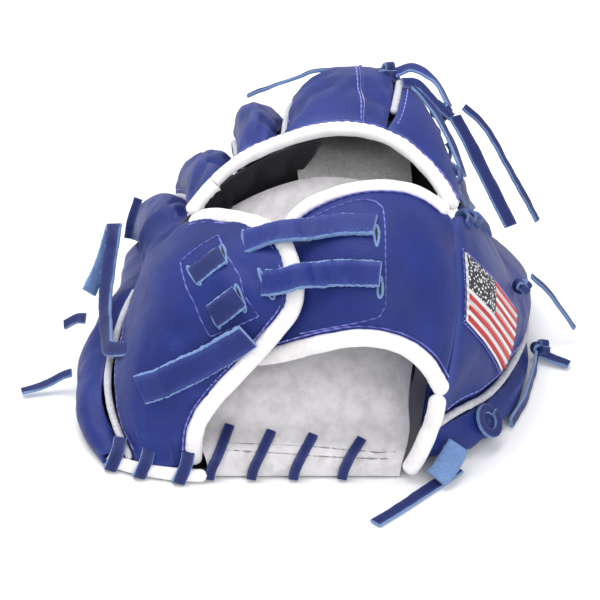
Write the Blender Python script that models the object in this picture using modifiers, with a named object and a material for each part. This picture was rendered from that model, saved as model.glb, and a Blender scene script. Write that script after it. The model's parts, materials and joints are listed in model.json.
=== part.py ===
"""Leather fielding glove for the left hand, resting palm down on its rim.

The tables are in millimetres and MM turns them into metres. +Z is up and z = 0 is the plane the rim
rests on. The origin is on that plane, under the middle of the heel edge. +Y runs from the heel to the
fingertips and +X towards the thumb. Every leather panel is a loft through a few shaping curves, given its
thickness by a Solidify modifier. Every rolled edge and welt is a bevelled curve, and every lace a flat strip.
"""

import math

import bpy
from mathutils import Matrix, Vector

MM = 0.001

# Leather and lace thicknesses
SHELL = 2.4
LINING = 1.6
STRAP = 2.2
LACE = 1.5
BINDING_RADIUS = 3.4
WELT_RADIUS = 1.3
PAD = 4.2
HEEL_PAD = 4.8
FLEECE_THICK = 2.0
LAYER_GAP = 0.7
EDGE_GAP = 0.5

# Finishes: colour and roughness
ROYAL = ((0.035, 0.055, 0.36), 0.45)
NAVY = ((0.02, 0.025, 0.16), 0.5)
WHITE = ((0.80, 0.78, 0.77), 0.55)
GREY = ((0.50, 0.50, 0.51), 0.8)
FLEECE = ((0.16, 0.16, 0.16), 0.95)
FELT = ((0.62, 0.58, 0.50), 0.95)
RED = ((0.60, 0.04, 0.04), 0.7)
SUEDE = ((0.21, 0.36, 0.62), 0.9)


# ---------------------------------------------------------------- scene and materials

def clear_scene():
    for obj in list(bpy.data.objects):
        bpy.data.objects.remove(obj, do_unlink=True)


def new_collection(name):
    made = bpy.data.collections.new(name)
    bpy.context.scene.collection.children.link(made)
    return made


def finished(obj, finish):
    """Gives the object its own material in one of the finishes, and puts it in the glove's collection."""
    colour, roughness = finish
    material = bpy.data.materials.new(f"{obj.name}_finish")
    material.use_nodes = True
    shader = material.node_tree.nodes["Principled BSDF"]
    shader.inputs["Base Color"].default_value = (*colour, 1.0)
    shader.inputs["Roughness"].default_value = roughness
    shader.inputs["Metallic"].default_value = 0.0
    material.diffuse_color = (*colour, 1.0)
    obj.data.materials.append(material)
    glove.objects.link(obj)


# ---------------------------------------------------------------- curves and lofts

def through(points, count):
    """A smooth curve through the points, as this many evenly spaced points."""
    knots = [Vector(p) for p in points]
    if len(knots) == 2:
        return [knots[0].lerp(knots[1], i / (count - 1)) for i in range(count)]
    ends = [2 * knots[0] - knots[1]] + knots + [2 * knots[-1] - knots[-2]]
    fine = []
    steps = 24
    for i in range(1, len(ends) - 2):
        for k in range(steps):
            fine.append(catmull_rom(ends[i - 1:i + 3], k / steps))
    fine.append(knots[-1])
    return evenly(fine, count)


def catmull_rom(four, t):
    a, b, c, d = four
    return 0.5 * (2 * b + (c - a) * t + (2 * a - 5 * b + 4 * c - d) * t * t
                  + (3 * b - a - 3 * c + d) * t * t * t)


def evenly(fine, count):
    """Points at equal arc lengths along a fine polyline."""
    lengths = [0.0]
    for a, b in zip(fine, fine[1:]):
        lengths.append(lengths[-1] + (b - a).length)
    spaced = []
    j = 0
    for i in range(count):
        want = lengths[-1] * i / (count - 1)
        while j < len(fine) - 2 and lengths[j + 1] < want:
            j += 1
        step = max(lengths[j + 1] - lengths[j], 1e-9)
        spaced.append(fine[j].lerp(fine[j + 1], min(1.0, (want - lengths[j]) / step)))
    return spaced


def blend_number(values, share):
    """The value at a share, 0 to 1, along a short list, with straight stretches between its entries."""
    place = share * (len(values) - 1)
    i = min(int(place), len(values) - 2)
    return values[i] + (values[i + 1] - values[i]) * (place - i)


def loft(rows, across, along):
    """A grid on the smooth surface through the shaping rows: along + 1 rows of across + 1 points."""
    spread = [through(row, across + 1) for row in rows]
    columns = [through([row[i] for row in spread], along + 1) for i in range(across + 1)]
    return [[columns[i][j] for i in range(across + 1)] for j in range(along + 1)]


def along_columns(rows, per_span):
    """Adds rows between the given ones, so that each column becomes a smooth curve through its points."""
    grid = []
    padded = [[2 * a - b for a, b in zip(rows[0], rows[1])]] + rows
    padded += [[2 * a - b for a, b in zip(rows[-1], rows[-2])]]
    for i in range(1, len(padded) - 2):
        for k in range(per_span):
            four = padded[i - 1:i + 3]
            grid.append([catmull_rom(points, k / per_span) for points in zip(*four)])
    grid.append(list(rows[-1]))
    return grid


def normals(grid):
    """Unit normals of a grid of points: across x along."""
    found = []
    last_row, last = len(grid) - 1, len(grid[0]) - 1
    for j, row in enumerate(grid):
        line = []
        for i in range(len(row)):
            over = row[min(i + 1, last)] - row[max(i - 1, 0)]
            down = grid[min(j + 1, last_row)][i] - grid[max(j - 1, 0)][i]
            line.append(over.cross(down).normalized())
        found.append(line)
    return found


def shifted(grid, distance):
    """The grid moved along its normals."""
    facing = normals(grid)
    return [[p + n * distance for p, n in zip(row, line)] for row, line in zip(grid, facing)]


def inset(grid, first_row=0, last_row=0, first=0, last=0):
    """The grid without some of its outer rows and columns."""
    rows = grid[first_row:len(grid) - last_row]
    return [row[first:len(row) - last] for row in rows]


# ---------------------------------------------------------------- objects

def mesh_object(name, points, faces, finish):
    mesh = bpy.data.meshes.new(name)
    mesh.from_pydata([p * MM for p in points], [], faces)
    mesh.validate()
    made = bpy.data.objects.new(name, mesh)
    finished(made, finish)
    mesh.shade_smooth()
    return made


def solidify(obj, thickness, offset, even=True):
    made = obj.modifiers.new("thickness", "SOLIDIFY")
    made.thickness = thickness * MM
    made.offset = offset
    made.use_even_offset = even


def sheet(name, grid, thickness, finish, offset=-1.0, even=True):
    """A leather panel. The grid is its outer face; offset -1 grows it inwards, +1 outwards."""
    across = len(grid[0])
    points = [p for row in grid for p in row]
    faces = []
    for j in range(len(grid) - 1):
        for i in range(across - 1):
            a = j * across + i
            faces.append((a, a + 1, a + across + 1, a + across))
    made = mesh_object(name, points, faces, finish)
    solidify(made, thickness, offset, even)
    return made


def joined_sheet(name, grids, thickness, finish):
    """One panel from several grids that share border points."""
    index, points, faces = {}, [], []
    for grid in grids:
        ids = []
        for row in grid:
            line = []
            for p in row:
                key = tuple(round(c, 3) for c in p)
                if key not in index:
                    index[key] = len(points)
                    points.append(p)
                line.append(index[key])
            ids.append(line)
        for above, below in zip(ids, ids[1:]):
            for i in range(len(above) - 1):
                faces.append((above[i], above[i + 1], below[i + 1], below[i]))
    made = mesh_object(name, points, faces, finish)
    solidify(made, thickness, -1.0, even=False)
    return made


def lace(name, stops, width, finish, thickness=LACE, count=14):
    """A flat lace through (point, facing) stops; facing is the way its outer side looks there."""
    line = through([stop[0] for stop in stops], count)
    looks = [Vector(stop[1]) for stop in stops]
    grid = []
    for i, centre in enumerate(line):
        place = i / (count - 1) * (len(looks) - 1)
        k = min(int(place), len(looks) - 2)
        facing = looks[k].lerp(looks[k + 1], place - k).normalized()
        ahead = (line[min(i + 1, count - 1)] - line[max(i - 1, 0)]).normalized()
        across = facing.cross(ahead).normalized() * (width / 2)
        grid.append([centre - across, centre, centre + across])
    return sheet(name, grid, thickness, finish, offset=0.0)


def loop(name, centre, facing, radius, thickness, finish, count=20):
    """A closed round ring of lace."""
    turn = Vector(facing).to_track_quat("Z", "Y")
    ring = []
    for i in range(count):
        a = 2 * math.pi * i / count
        ring.append(Vector(centre) + turn @ Vector((radius * math.cos(a), radius * math.sin(a), 0)))
    return cord(name, ring, thickness, finish, closed=True)


def cord(name, points, radius, finish, count=24, closed=False):
    """A round cord or rolled edge through the points."""
    line = [Vector(p) for p in points] if closed else through(points, count)
    data = bpy.data.curves.new(name, "CURVE")
    data.dimensions = "3D"
    data.bevel_depth = radius * MM
    data.bevel_resolution = 1
    data.use_fill_caps = not closed
    spline = data.splines.new("POLY")
    spline.points.add(len(line) - 1)
    for target, p in zip(spline.points, line):
        target.co = (*(p * MM), 1.0)
    spline.use_cyclic_u = closed
    made = bpy.data.objects.new(name, data)
    finished(made, finish)
    return made


# ---------------------------------------------------------------- finger stalls

# Each stall is a tube: its centre line, the lean of its back towards the little finger, its half width and
# half height from knuckle to tip.
FINGERS = {
    "pinky": {
        "centre": [(-65, 92, 57), (-63.5, 120, 55), (-68, 155, 41), (-76, 182, 22), (-79, 197, 11)],
        "lean": [54, 52, 46, 36, 26],
        "half_width": [14.5, 14.5, 14.5, 13.5, 11],
        "half_height": [13, 14, 14, 13, 10],
    },
    "ring": {
        "centre": [(-40, 103, 80), (-42, 127, 75), (-44, 160, 62), (-50, 197, 39), (-52, 219, 15)],
        "lean": [40, 38, 32, 22, 14],
        "half_width": [13, 13.5, 14.5, 15.5, 12.5],
        "half_height": [13, 13.5, 14, 14, 11],
    },
    "middle": {
        "centre": [(-19.5, 108, 98), (-20, 132, 97), (-20.5, 168, 85), (-18, 210, 57), (-15, 238, 18)],
        "lean": [24, 22, 16, 10, 6],
        "half_width": [11, 11.5, 14, 16.5, 13],
        "half_height": [13, 13.5, 14.5, 15, 12],
    },
    "index": {
        "centre": [(20.5, 109, 106), (23.5, 142, 106), (27, 182, 95), (29.5, 222, 64), (29.5, 247, 22)],
        "lean": [0, 0, 0, 0, 0],
        "half_width": [29, 30.5, 30, 25.5, 17],
        "half_height": [16, 17, 17, 16, 12],
    },
}
BOXINESS = 2.4
SEAM_ANGLE = 9.5
STATIONS = 11


def ring_point(frame, degrees):
    """A point on the stall's section: 0 is towards the thumb, 90 the finger's back, 270 its palm side."""
    centre, side, up, width, height = frame
    a = math.radians(degrees)
    c, s = math.cos(a), math.sin(a)
    radius = (abs(c) ** BOXINESS + abs(s) ** BOXINESS) ** (-1 / BOXINESS)
    return centre + side * (width * radius * c) + up * (height * radius * s)


def stall_frames(finger):
    """Section frames along a stall, evenly spaced, turning with the finger as it curls."""
    shape = FINGERS[finger]
    line = through(shape["centre"], STATIONS)
    frames = []
    for i, centre in enumerate(line):
        share = i / (STATIONS - 1)
        ahead = (line[min(i + 1, STATIONS - 1)] - line[max(i - 1, 0)]).normalized()
        tilt = math.radians(blend_number(shape["lean"], share))
        side = Vector((math.cos(tilt), 0, math.sin(tilt)))
        side = (side - ahead * side.dot(ahead)).normalized()
        up = side.cross(ahead).normalized()
        closing = max(0.0, (share - 0.84) / 0.16)
        round_off = math.sqrt(1 - (0.86 * closing) ** 2)
        width = blend_number(shape["half_width"], share) * round_off
        height = blend_number(shape["half_height"], share) * round_off
        frames.append((centre, side, up, width, height))
    return frames


def arc(frame, start, stop, across):
    return [ring_point(frame, start + (stop - start) * i / across) for i in range(across + 1)]


def stall_grid(finger, start, stop, across, first=0):
    """Points of a stall's section between two angles, one row for each station."""
    return [arc(frame, start, stop, across) for frame in stall_frames(finger)[first:]]


# ---------------------------------------------------------------- shaping curves of the panels

# Palm leather from the little finger's welt, round the rim and under the hand to the thumb crease.
PALM_ROWS = [
    [(-79, 1, 5), (-86, 4, 8), (-91, 4, 5), (-85, 1, -1), (-60, -3, -1), (-30, -3, -1), (0, -3, -1),
     (45, -3, -1)],
    [(-85, 13, 10), (-93, 16, 13), (-98, 16, 7), (-91, 12, -1), (-60, 12, -1), (-30, 12, -1), (0, 12, -1),
     (47, 12, -1)],
    [(-92, 31, 18), (-101, 33, 17), (-105, 33, 7), (-96, 30, 0), (-64, 27, 14), (-32, 26, 20), (2, 26, 22),
     (50, 28, 17)],
    [(-91, 53, 26), (-102, 55, 18), (-107, 55, 5), (-98, 52, 2), (-70, 49, 24), (-36, 50, 38), (5, 51, 42),
     (55, 52, 35)],
    [(-87, 75, 33), (-100, 76, 24), (-107, 76, 8), (-99, 74, 3), (-74, 73, 28), (-38, 77, 56), (6, 80, 65),
     (60, 78, 55)],
]
# Palm side of the little finger's stall, whose outer side bulges past its welt.
PINKY_FRONT_ROWS = [
    [(-80, 94, 38), (-92, 94, 34), (-100, 94, 20), (-94, 93, 4), (-77, 94, 20), (-64, 97, 38),
     (-53, 100, 52)],
    [(-76, 121, 37), (-84, 121, 33), (-91, 120, 22), (-87, 120, 7), (-74, 120, 15), (-62, 121, 31),
     (-53, 122, 52)],
    [(-79, 152, 28), (-86, 152, 24), (-91, 152, 15), (-86, 152, 4), (-75, 152, 8), (-64, 153, 19),
     (-59, 154, 35)],
    [(-86, 182, 14), (-90, 182, 11), (-91, 182, 7), (-88, 182, 1), (-79, 182, 2), (-70, 183, 7),
     (-66, 183, 16)],
    [(-84, 198, 8), (-86, 198, 6), (-86, 198, 4), (-83, 198, 1), (-78, 198, 0.5), (-73, 198, 2),
     (-70, 198, 6)],
]
# Palm side of the first finger's stall, out to the edge that the web is laced to.
INDEX_FRONT_ROWS = [
    [(-9, 108, 90), (-3, 107, 87), (11, 107, 85), (28, 106, 83), (46, 105, 81), (58, 103, 80),
     (67, 100, 80)],
    [(-5.5, 142, 99), (-2, 142, 93.5), (9, 142, 90), (26, 141, 89), (42, 140, 89), (54, 138, 90),
     (63, 135, 91)],
    [(-1.5, 183, 89), (1.5, 182, 83), (10, 181, 79), (25, 181, 77), (38, 180, 77), (47, 179, 78),
     (54, 177, 80)],
    [(6, 222, 59), (9, 221, 54), (15, 220, 51), (26, 219, 49), (36, 219, 50), (42, 218, 51), (47, 217, 54)],
    [(16, 247, 18), (18, 247, 15.5), (21, 247, 13), (27, 247, 12), (33, 247, 13), (37, 247, 15),
     (40, 246, 18)],
]

# The wrist wing that runs into the little finger's back; its last rows come from the stall.
WING_ROWS = [
    [(-75, -2, 7), (-68, -6, 6), (-60, -7, 5), (-51, -5, 4)],
    [(-84, 19, 21), (-72, 5, 27), (-59, -1, 29), (-47, -2, 30)],
    [(-86, 42, 32), (-68, 23, 51), (-46, 11, 56), (-19, 9, 60)],
    [(-84, 62, 36), (-64, 38, 67), (-38, 22, 78), (-5, 13, 83)],
    [(-81, 78, 40), (-67, 58, 71), (-44, 46, 89), (-13, 41, 100)],
    [(-78, 90, 43), (-71, 80, 62), (-60, 73, 78), (-42, 70, 93)],
    [(-77, 101, 43), (-73, 96, 56), (-66, 90, 69), (-56, 85, 80)],
]

# The web side of the first finger, from its welt to the edge that the web is laced to.
INDEX_WING_ROWS = [
    [(41, 104, 120), (53, 98, 115), (65, 85, 108), (73, 70, 101)],
    [(46, 118, 120.5), (57, 113, 116), (67, 104, 108), (75, 93, 98)],
    [(49.5, 140, 120), (58, 137, 116), (65, 133, 109), (69, 129, 99)],
    [(51.5, 168, 113.5), (57.5, 167, 109), (61, 165, 101), (62, 162, 92)],
    [(50, 200, 94), (55, 200, 89), (58, 199, 82), (57, 197, 74)],
    [(46, 226, 65), (49, 227, 60), (51, 226, 54), (51, 225, 48)],
    [(38, 246, 32), (41, 247, 29), (43, 247, 26), (44, 246, 23)],
]

# The thumb's back, from the crease beside the strap to the thumb's tip: welt edge, bulge, web edge.
THUMB_BACK_ROWS = [
    [(61, -1, 27), (66, 1, 42), (70, 11, 60), (72, 24, 76), (72, 42, 90), (72, 60, 98)],
    [(72, 15, 26), (78, 18, 42), (83, 30, 57), (85, 44, 70), (83, 62, 81), (80, 80, 88)],
    [(84, 32, 21), (91, 38, 34), (95, 50, 46), (95, 64, 57), (91, 82, 67), (86, 102, 73)],
    [(97, 60, 16), (103, 67, 27), (105, 80, 36), (102, 94, 45), (96, 108, 52), (90, 124, 56)],
    [(109, 96, 13), (113, 104, 21), (112, 116, 29), (107, 127, 35), (101, 136, 39), (95, 145, 41)],
    [(113, 132, 9), (115, 139, 15), (113, 148, 20), (108, 156, 24), (103, 162, 26), (98, 166, 27)],
    [(111, 160, 7), (112, 165, 10), (110, 170, 13), (108, 173, 15), (105, 175, 16), (102, 176, 16)],
]

# The thumb's palm leather: from the palm crease, under the thumb and round the rim to the thumb's welt.
THUMB_PALM_ROWS = [
    [(51, -4, 1), (53, -4, 6), (55, -3, 10), (57, -2, 14), (58, -1, 18), (60, -1, 22)],
    [(56, 20, 13), (68, 14, 3), (77, 9, 2), (79, 9, 9), (77, 10, 14), (73, 13, 21)],
    [(61, 48, 32), (78, 42, 9), (93, 33, 1), (96, 32, 6), (94, 32, 11), (86, 31, 16)],
    [(66, 77, 52), (84, 72, 22), (103, 62, 1), (108, 61, 4), (107, 61, 8), (99, 60, 11)],
    [(77, 104, 58), (91, 103, 30), (108, 97, 1), (113, 97, 3), (113, 97, 5), (110, 97, 8)],
    [(90, 138, 38), (97, 137, 20), (109, 132, 1), (112, 132, 2), (113.5, 132, 2.8), (113.5, 132, 3.7)],
    [(100, 166, 15), (103, 165, 9), (108, 161, 1), (110, 160, 1.4), (111, 160, 1.8), (111.5, 160, 2.2)],
]

# The strap across the back of the wrist: its wrist edge, two shaping lines and its knuckle edge.
STRAP_ROWS = [
    [(-34, 26, 46), (-37, 32, 56), (-37, 40, 67), (-34, 49, 76)],
    [(-13, 16, 54.5), (-15, 23, 66.5), (-15, 35, 80.5), (-13, 49, 89.5)],
    [(9, 4.5, 68), (8, 13.5, 82.2), (5, 31.5, 97.2), (2, 53, 105.2)],
    [(28, 0, 74), (29, 9, 91), (28, 29, 108), (25, 56, 114)],
    [(45, 0, 70), (49, 9, 88), (50, 30, 106), (48, 58, 113)],
    [(57, 0, 60), (62, 11, 77), (64, 29, 94), (63, 57, 105)],
    [(64, 1, 47), (68.5, 11, 63), (70.5, 25, 80), (70.5, 53, 98)],
]

# Rolled edge of the knuckle opening: its centre line.
KNUCKLE_EDGE = [(-53, 83, 86), (-43, 92, 96), (-29, 99, 106), (-6, 102.5, 116), (17, 103.5, 121),
                (38, 99, 120),
                (53, 90, 114), (64, 76, 107), (70, 62, 101)]
THUMB_EDGE = [(63, -4, 40), (59, -6, 26), (54, -8, 13), (49, -9, 4)]

# Lining of the hand's cavity: its upper face from the rolled front edge of the heel up to the finger roots.
LINING_ROWS = [
    [(-36, -6.5, 1), (-14, -6.5, 1), (12, -6.5, 1), (41, -6.5, 1)],
    [(-36, -6, 7.5), (-14, -6, 8), (12, -6, 8), (42, -6, 7.5)],
    [(-39, 0, 12.5), (-16, -1, 13), (12, -1, 13), (44, 0, 12)],
    [(-48, 11, 16.5), (-20, 10.5, 17), (10, 10.5, 17), (46, 11, 16)],
    [(-59, 23, 27), (-30, 20, 29), (6, 20, 31), (46, 22, 26)],
    [(-64, 44, 39), (-36, 43, 47), (5, 43.5, 51), (50, 45, 43)],
    [(-61, 69, 52), (-36, 69, 68), (6, 72, 75), (54, 71, 62)],
    [(-50, 94, 66), (-30, 97, 83), (8, 100, 95), (54, 97, 90)],
]
INDEX_LINING_ROWS = [
    [(0, 106, 97), (20, 106, 96), (42, 105, 95), (52, 103, 95)],
    [(-1, 130, 101), (20, 130, 100), (40, 130, 100), (51, 128, 100)],
    [(4, 160, 98), (22, 160, 96), (38, 160, 96), (47, 159, 96)],
    [(9, 184, 88), (24, 184, 86), (36, 184, 86), (43, 183, 87)],
]

# Web between the first finger and the thumb: rows run from the crotch outwards, points from finger to thumb.
WEB_ROWS = [
    [(72, 103, 88), (77, 104, 80), (82, 103, 73)],
    [(69, 131, 92), (77, 132, 77), (85, 129, 61)],
    [(65, 162, 85), (76, 162, 69), (88, 158, 48)],
    [(60, 193, 71), (73, 192, 56), (91, 184, 35)],
    [(55, 216, 54), (70, 214, 42), (93, 203, 26)],
]


# Where the sewn patch sits on the thumb's back: row and column of its corners, and its thickness.
PATCH_CORNERS = [(0.35, 7.9), (0.35, 4.7), (4.4, 0.9), (5.2, 4.2)]
PATCH = 1.2
PATCH_GAP = 0.8

# Heel stitches: where each one enters the lining.
HEEL_STITCHES = [(-32, 9), (-13, 6), (6, 4), (28, 2)]

# Flat laces: the points each one runs through, which way it faces there, and its width.
LACES = {
    "strap_lace_upper": ([((-24.7, 39.2, 97.1), (-0.3, -0.38, 0.88)), ((-14.2, 37.3, 102.3),
                                                                       (-0.3, -0.4, 0.86)),
                          ((-5.1, 35.3, 105.3), (-0.2, -0.4, 0.9)), ((3.8, 36.3, 105.3),
                                                                     (-0.3, -0.33, 0.9)),
                          ((17.1, 33.8, 109.1), (-0.3, -0.33, 0.9)), ((33.3, 30.1, 111), (0, -0.31, 0.95))],
                         12.0),
    "strap_lace_lower": ([((-16.2, 19, 87.6), (-0.26, -0.66, 0.71)), ((-8.2, 14.1, 91.6),
                                                                      (-0.3, -0.68, 0.68)),
                          ((-0.2, 12.1, 95.4), (-0.3, -0.7, 0.66)), ((7.8, 15.4, 94), (-0.35, -0.66, 0.66)),
                          ((17.8, 13.4, 96.3), (-0.33, -0.69, 0.65)), ((35.2, 9.8, 97.6), (0, -0.7, 0.71))],
                         12.0),
    "wing_lace_upper": ([((-48.2, 32.7, 82.9), (-0.52, -0.45, 0.72)), ((-40.9, 34.3, 88.6),
                                                                       (-0.45, -0.45, 0.77)),
                         ((-34.6, 35.6, 92.8), (-0.38, -0.43, 0.82))], 11.0),
    "wing_lace_lower": ([((-38.9, 14.7, 72.6), (-0.36, -0.76, 0.54)), ((-32.6, 15.0, 78.0),
                                                                       (-0.33, -0.74, 0.58)),
                         ((-27.0, 16.6, 82.2), (-0.3, -0.71, 0.63))], 12.0),
    "wrist_tail": ([((-23, 8.6, 67), (-0.15, -0.96, 0.24)), ((-40.5, 7.6, 56.8), (-0.2, -0.86, 0.47)),
                    ((-54.4, 6.8, 48.8), (-0.34, -0.77, 0.54)), ((-69.5, 6.0, 38.5),
                                                                 (-0.5, -0.68, 0.54))], 14.0),
    "pinky_loop": ([((-89, 46, 36.5), (-0.8, -0.1, 0.6)), ((-92, 68, 38), (-0.7, 0.0, 0.7)),
                    ((-93, 90, 43), (-0.6, -0.3, 0.7)), ((-91, 108, 56), (-0.5, -0.6, 0.6)),
                    ((-90, 117, 62), (-0.3, 0.1, 0.95)), ((-92, 122, 56), (-0.2, 0.95, 0.2)),
                    ((-97, 114, 42), (-0.4, 0.8, -0.3)), ((-103, 104, 32), (-0.5, 0.6, -0.5))], 7.5),
    "pinky_lace_end": ([((-84, 122, 52), (-0.2, -0.9, 0.3)), ((-82.5, 126, 60), (-0.2, -0.9, 0.4)),
                        ((-79, 130, 70), (-0.2, -0.8, 0.5))], 4.5),
    "side_lace_end": ([((-103.5, 88, 27), (-0.2, -0.5, 0.8)), ((-108, 89, 26), (-0.2, -0.4, 0.9)),
                       ((-114, 90, 22), (-0.4, -0.4, 0.8))], 5.5),
    "tail_left": ([((-109.2, 66, 10), (-0.9, -0.2, 0.5)), ((-114, 66, 8), (-0.5, -0.3, 0.8)),
                   ((-122, 64, 4.5), (-0.2, -0.2, 0.95)), ((-133, 61, 2.6), (0, 0, 1))], 4.5),
    "tail_top": ([((42, 174, 117.0), (0, 0.3, 0.95)), ((30, 179, 116.2), (0, 0.4, 0.9)),
                  ((10, 181, 114.8), (-0.1, 0.4, 0.9)), ((-4, 178, 111.5), (-0.4, 0.3, 0.85)),
                  ((-17, 176, 107), (-0.4, 0.3, 0.85)), ((-26, 176, 103), (-0.4, 0.3, 0.85))], 4.5),
    "web_top_loop": ([((47, 170, 118.6), (0, 0, 1)), ((56, 170, 121.5), (0, 0, 1)),
                      ((66, 165, 117), (0.7, 0.1, 0.7)), ((73, 155, 108.5), (0.8, 0, 0.6))], 8.0),
    "tail_web_wide": ([((75.5, 147.5, 106), (0.6, -0.5, 0.6)), ((82, 139, 96.5), (0.6, -0.5, 0.6)),
                       ((91, 127, 82), (0.6, -0.5, 0.6)), ((102, 113, 64), (0.6, -0.5, 0.6))], 8.5),
    "tail_web_thin": ([((80, 152, 109), (0.5, -0.3, 0.8)), ((90, 148, 101), (0.6, -0.3, 0.7)),
                       ((101, 141, 84), (0.8, -0.3, 0.5)), ((117, 131, 57), (0.8, -0.3, 0.5))], 4.5),
    "tail_side": ([((114, 117, 33.5), (0.6, 0, 0.8)), ((121, 116, 27), (0.6, 0, 0.8)),
                   ((129, 113, 17), (0.7, 0, 0.7)), ((136, 110, 8), (0.7, 0, 0.7))], 4.5),
    "tail_heel": ([((72, -2, 1.6), (0, 0, 1)), ((60, -14, 1.1), (0, 0, 1)), ((46, -29, 1.1), (0, 0, 1)),
                   ((33, -42, 1.1), (0, 0, 1))], 6.0),
    "thumb_tongue": ([((71.5, -0.5, 14), (0.3, -0.9, 0.3)), ((68.5, -5, 10.5), (0.1, -0.8, 0.6)),
                      ((65, -9.5, 7), (0, -0.6, 0.8)), ((61, -13, 4.6), (0, -0.4, 0.9))], 11.0),
    "rim_lace": ([((115.6, 91, 4), (0.95, -0.3, 0.1)), ((112.3, 74, 3.6), (0.9, -0.4, 0.1)),
                  ((106.5, 52, 3.4), (0.85, -0.5, 0.1)), ((98.5, 33.5, 3.4), (0.8, -0.6, 0.1))], 5.5),
    "rim_lace_end": ([((118, 92, 4.4), (0.2, -0.4, 0.9)), ((124, 89, 3.2), (0, -0.2, 1)),
                      ((131, 86, 1.6), (0, 0, 1))], 5.5),
}

# Laces that show their suede side
SUEDE_LACES = ("thumb_tongue", "rim_lace")

# Joint axes: a point on each, with the pieces that move about it.
PIVOTS = {
    "glove_close": ((49, -5, 3), ["thumb_back", "thumb_palm", "thumb_binding", "thumb_welt", "thumb_patch",
                                  "thumb_loop", "thumb_tongue", "rim_lace", "rim_lace_end", "tail_side"]),
    "web_fold": ((71, 92, 94), ["web_index_half", "web_thumb_half", "web_center_lace"]),
    "strap_tighten": ((0, 30, 90), ["wrist_strap", "strap_fleece", "strap_upper_binding",
                                    "strap_lower_binding", "strap_lace_upper", "strap_lace_lower"]),
    "wrist_tail_swing": ((-23, 8.6, 67), ["wrist_tail"]),
    "top_tail_swing": ((42, 174, 117), ["tail_top"]),
    "web_tail_swing": ((75.5, 147.5, 106), ["tail_web_wide"]),
    "heel_tail_swing": ((72, -2, 1.6), ["tail_heel"]),
}


def flip(grid):
    """The same grid facing the other way."""
    return [row[::-1] for row in grid]


def pressed_flat(grid):
    """The grid with everything below the resting plane pressed up to it."""
    return [[Vector((p.x, p.y, max(p.z, 0.0))) for p in row] for row in grid]


# ---------------------------------------------------------------- the glove

PINKY_ACROSS = 12
FINGER_ACROSS = 6
INDEX_ACROSS = 8
SPAN_ROWS = 3
ROOT_ANGLE = 48.0


def front_grid(finger):
    """The palm side of a stall, nearly flat at its root and wrapping up to the side seams further along."""
    rows = []
    for i, frame in enumerate(stall_frames(finger)):
        seam = max(SEAM_ANGLE, ROOT_ANGLE * (1 - i / 3))
        rows.append(arc(frame, 180 + seam, 360 - seam, FINGER_ACROSS))
    return rows


def finger_front_grids():
    """The palm sides of the four stalls; neighbours share their first point between them."""
    pinky = loft(PINKY_FRONT_ROWS, PINKY_ACROSS, STATIONS - 1)
    ring = front_grid("ring")
    middle = front_grid("middle")
    index = loft(INDEX_FRONT_ROWS, INDEX_ACROSS, STATIONS - 1)
    fronts = [pinky, ring, middle, index]
    for left, right in zip(fronts, fronts[1:]):
        shared = (left[0][-1] + right[0][0]) / 2
        left[0][-1] = shared
        right[0][0] = shared
    return fronts


def palm_grid(fronts):
    """The palm sheet from the heel edge to the roots of the stalls."""
    base = list(fronts[0][0])
    for front in fronts[1:]:
        base += front[0][1:]
    spaced = [through(row, len(base)) for row in PALM_ROWS]
    return pressed_flat(along_columns(spaced + [base], SPAN_ROWS))


def build_palm():
    fronts = finger_front_grids()
    palm = palm_grid(fronts)
    joined_sheet("palm_shell", [flip(grid) for grid in [palm] + fronts], SHELL, ROYAL)
    flesh = flip(inset(palm, first_row=8, last_row=4, first=14, last=3))
    sheet("palm_pad", shifted(flesh, -(SHELL + LAYER_GAP)), PAD, FELT)
    heel = loft([[(-35, -2, 8.2), (40, -2, 8.2)], [(-35, 6, 8.2), (40, 6, 8.2)]], 8, 2)
    sheet("heel_pad", heel, HEEL_PAD, FELT)
    sheet("palm_lining", loft(LINING_ROWS, 12, 20), LINING, WHITE)
    sheet("index_lining", loft(INDEX_LINING_ROWS, 6, 8), LINING, WHITE)
    return palm


def build_backs():
    stall = stall_grid("pinky", 180 - SEAM_ANGLE, SEAM_ANGLE, 10, first=2)
    wing = [through(row, 11) for row in WING_ROWS]
    back = along_columns(wing + [stall[0]], SPAN_ROWS) + stall[1:]
    sheet("pinky_back", back, SHELL, ROYAL)
    wing_edge = beyond(column(back, -1), column(back, -2), BINDING_RADIUS + 4 * EDGE_GAP)
    sunk = [p - n * SHELL / 2 for p, n in zip(wing_edge, column(normals(back), -1))]
    cord("wing_binding", sunk[:5 * SPAN_ROWS], BINDING_RADIUS, WHITE, count=30)
    for finger in ("ring", "middle"):
        sheet(f"{finger}_back", stall_grid(finger, 180 - SEAM_ANGLE, SEAM_ANGLE, 8), SHELL, ROYAL)
    sheet("index_back", stall_grid("index", 180 - SEAM_ANGLE, 50, 8), SHELL, ROYAL)
    sheet("index_wing", loft(INDEX_WING_ROWS, 6, 12), SHELL, ROYAL)
    return back


def build_thumb():
    back = loft(THUMB_BACK_ROWS, 10, 14)
    front = pressed_flat(loft(THUMB_PALM_ROWS, 10, 12))
    sheet("thumb_back", flip(back), SHELL, ROYAL)
    sheet("thumb_palm", flip(front), SHELL, ROYAL, even=False)
    return back, front


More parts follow.
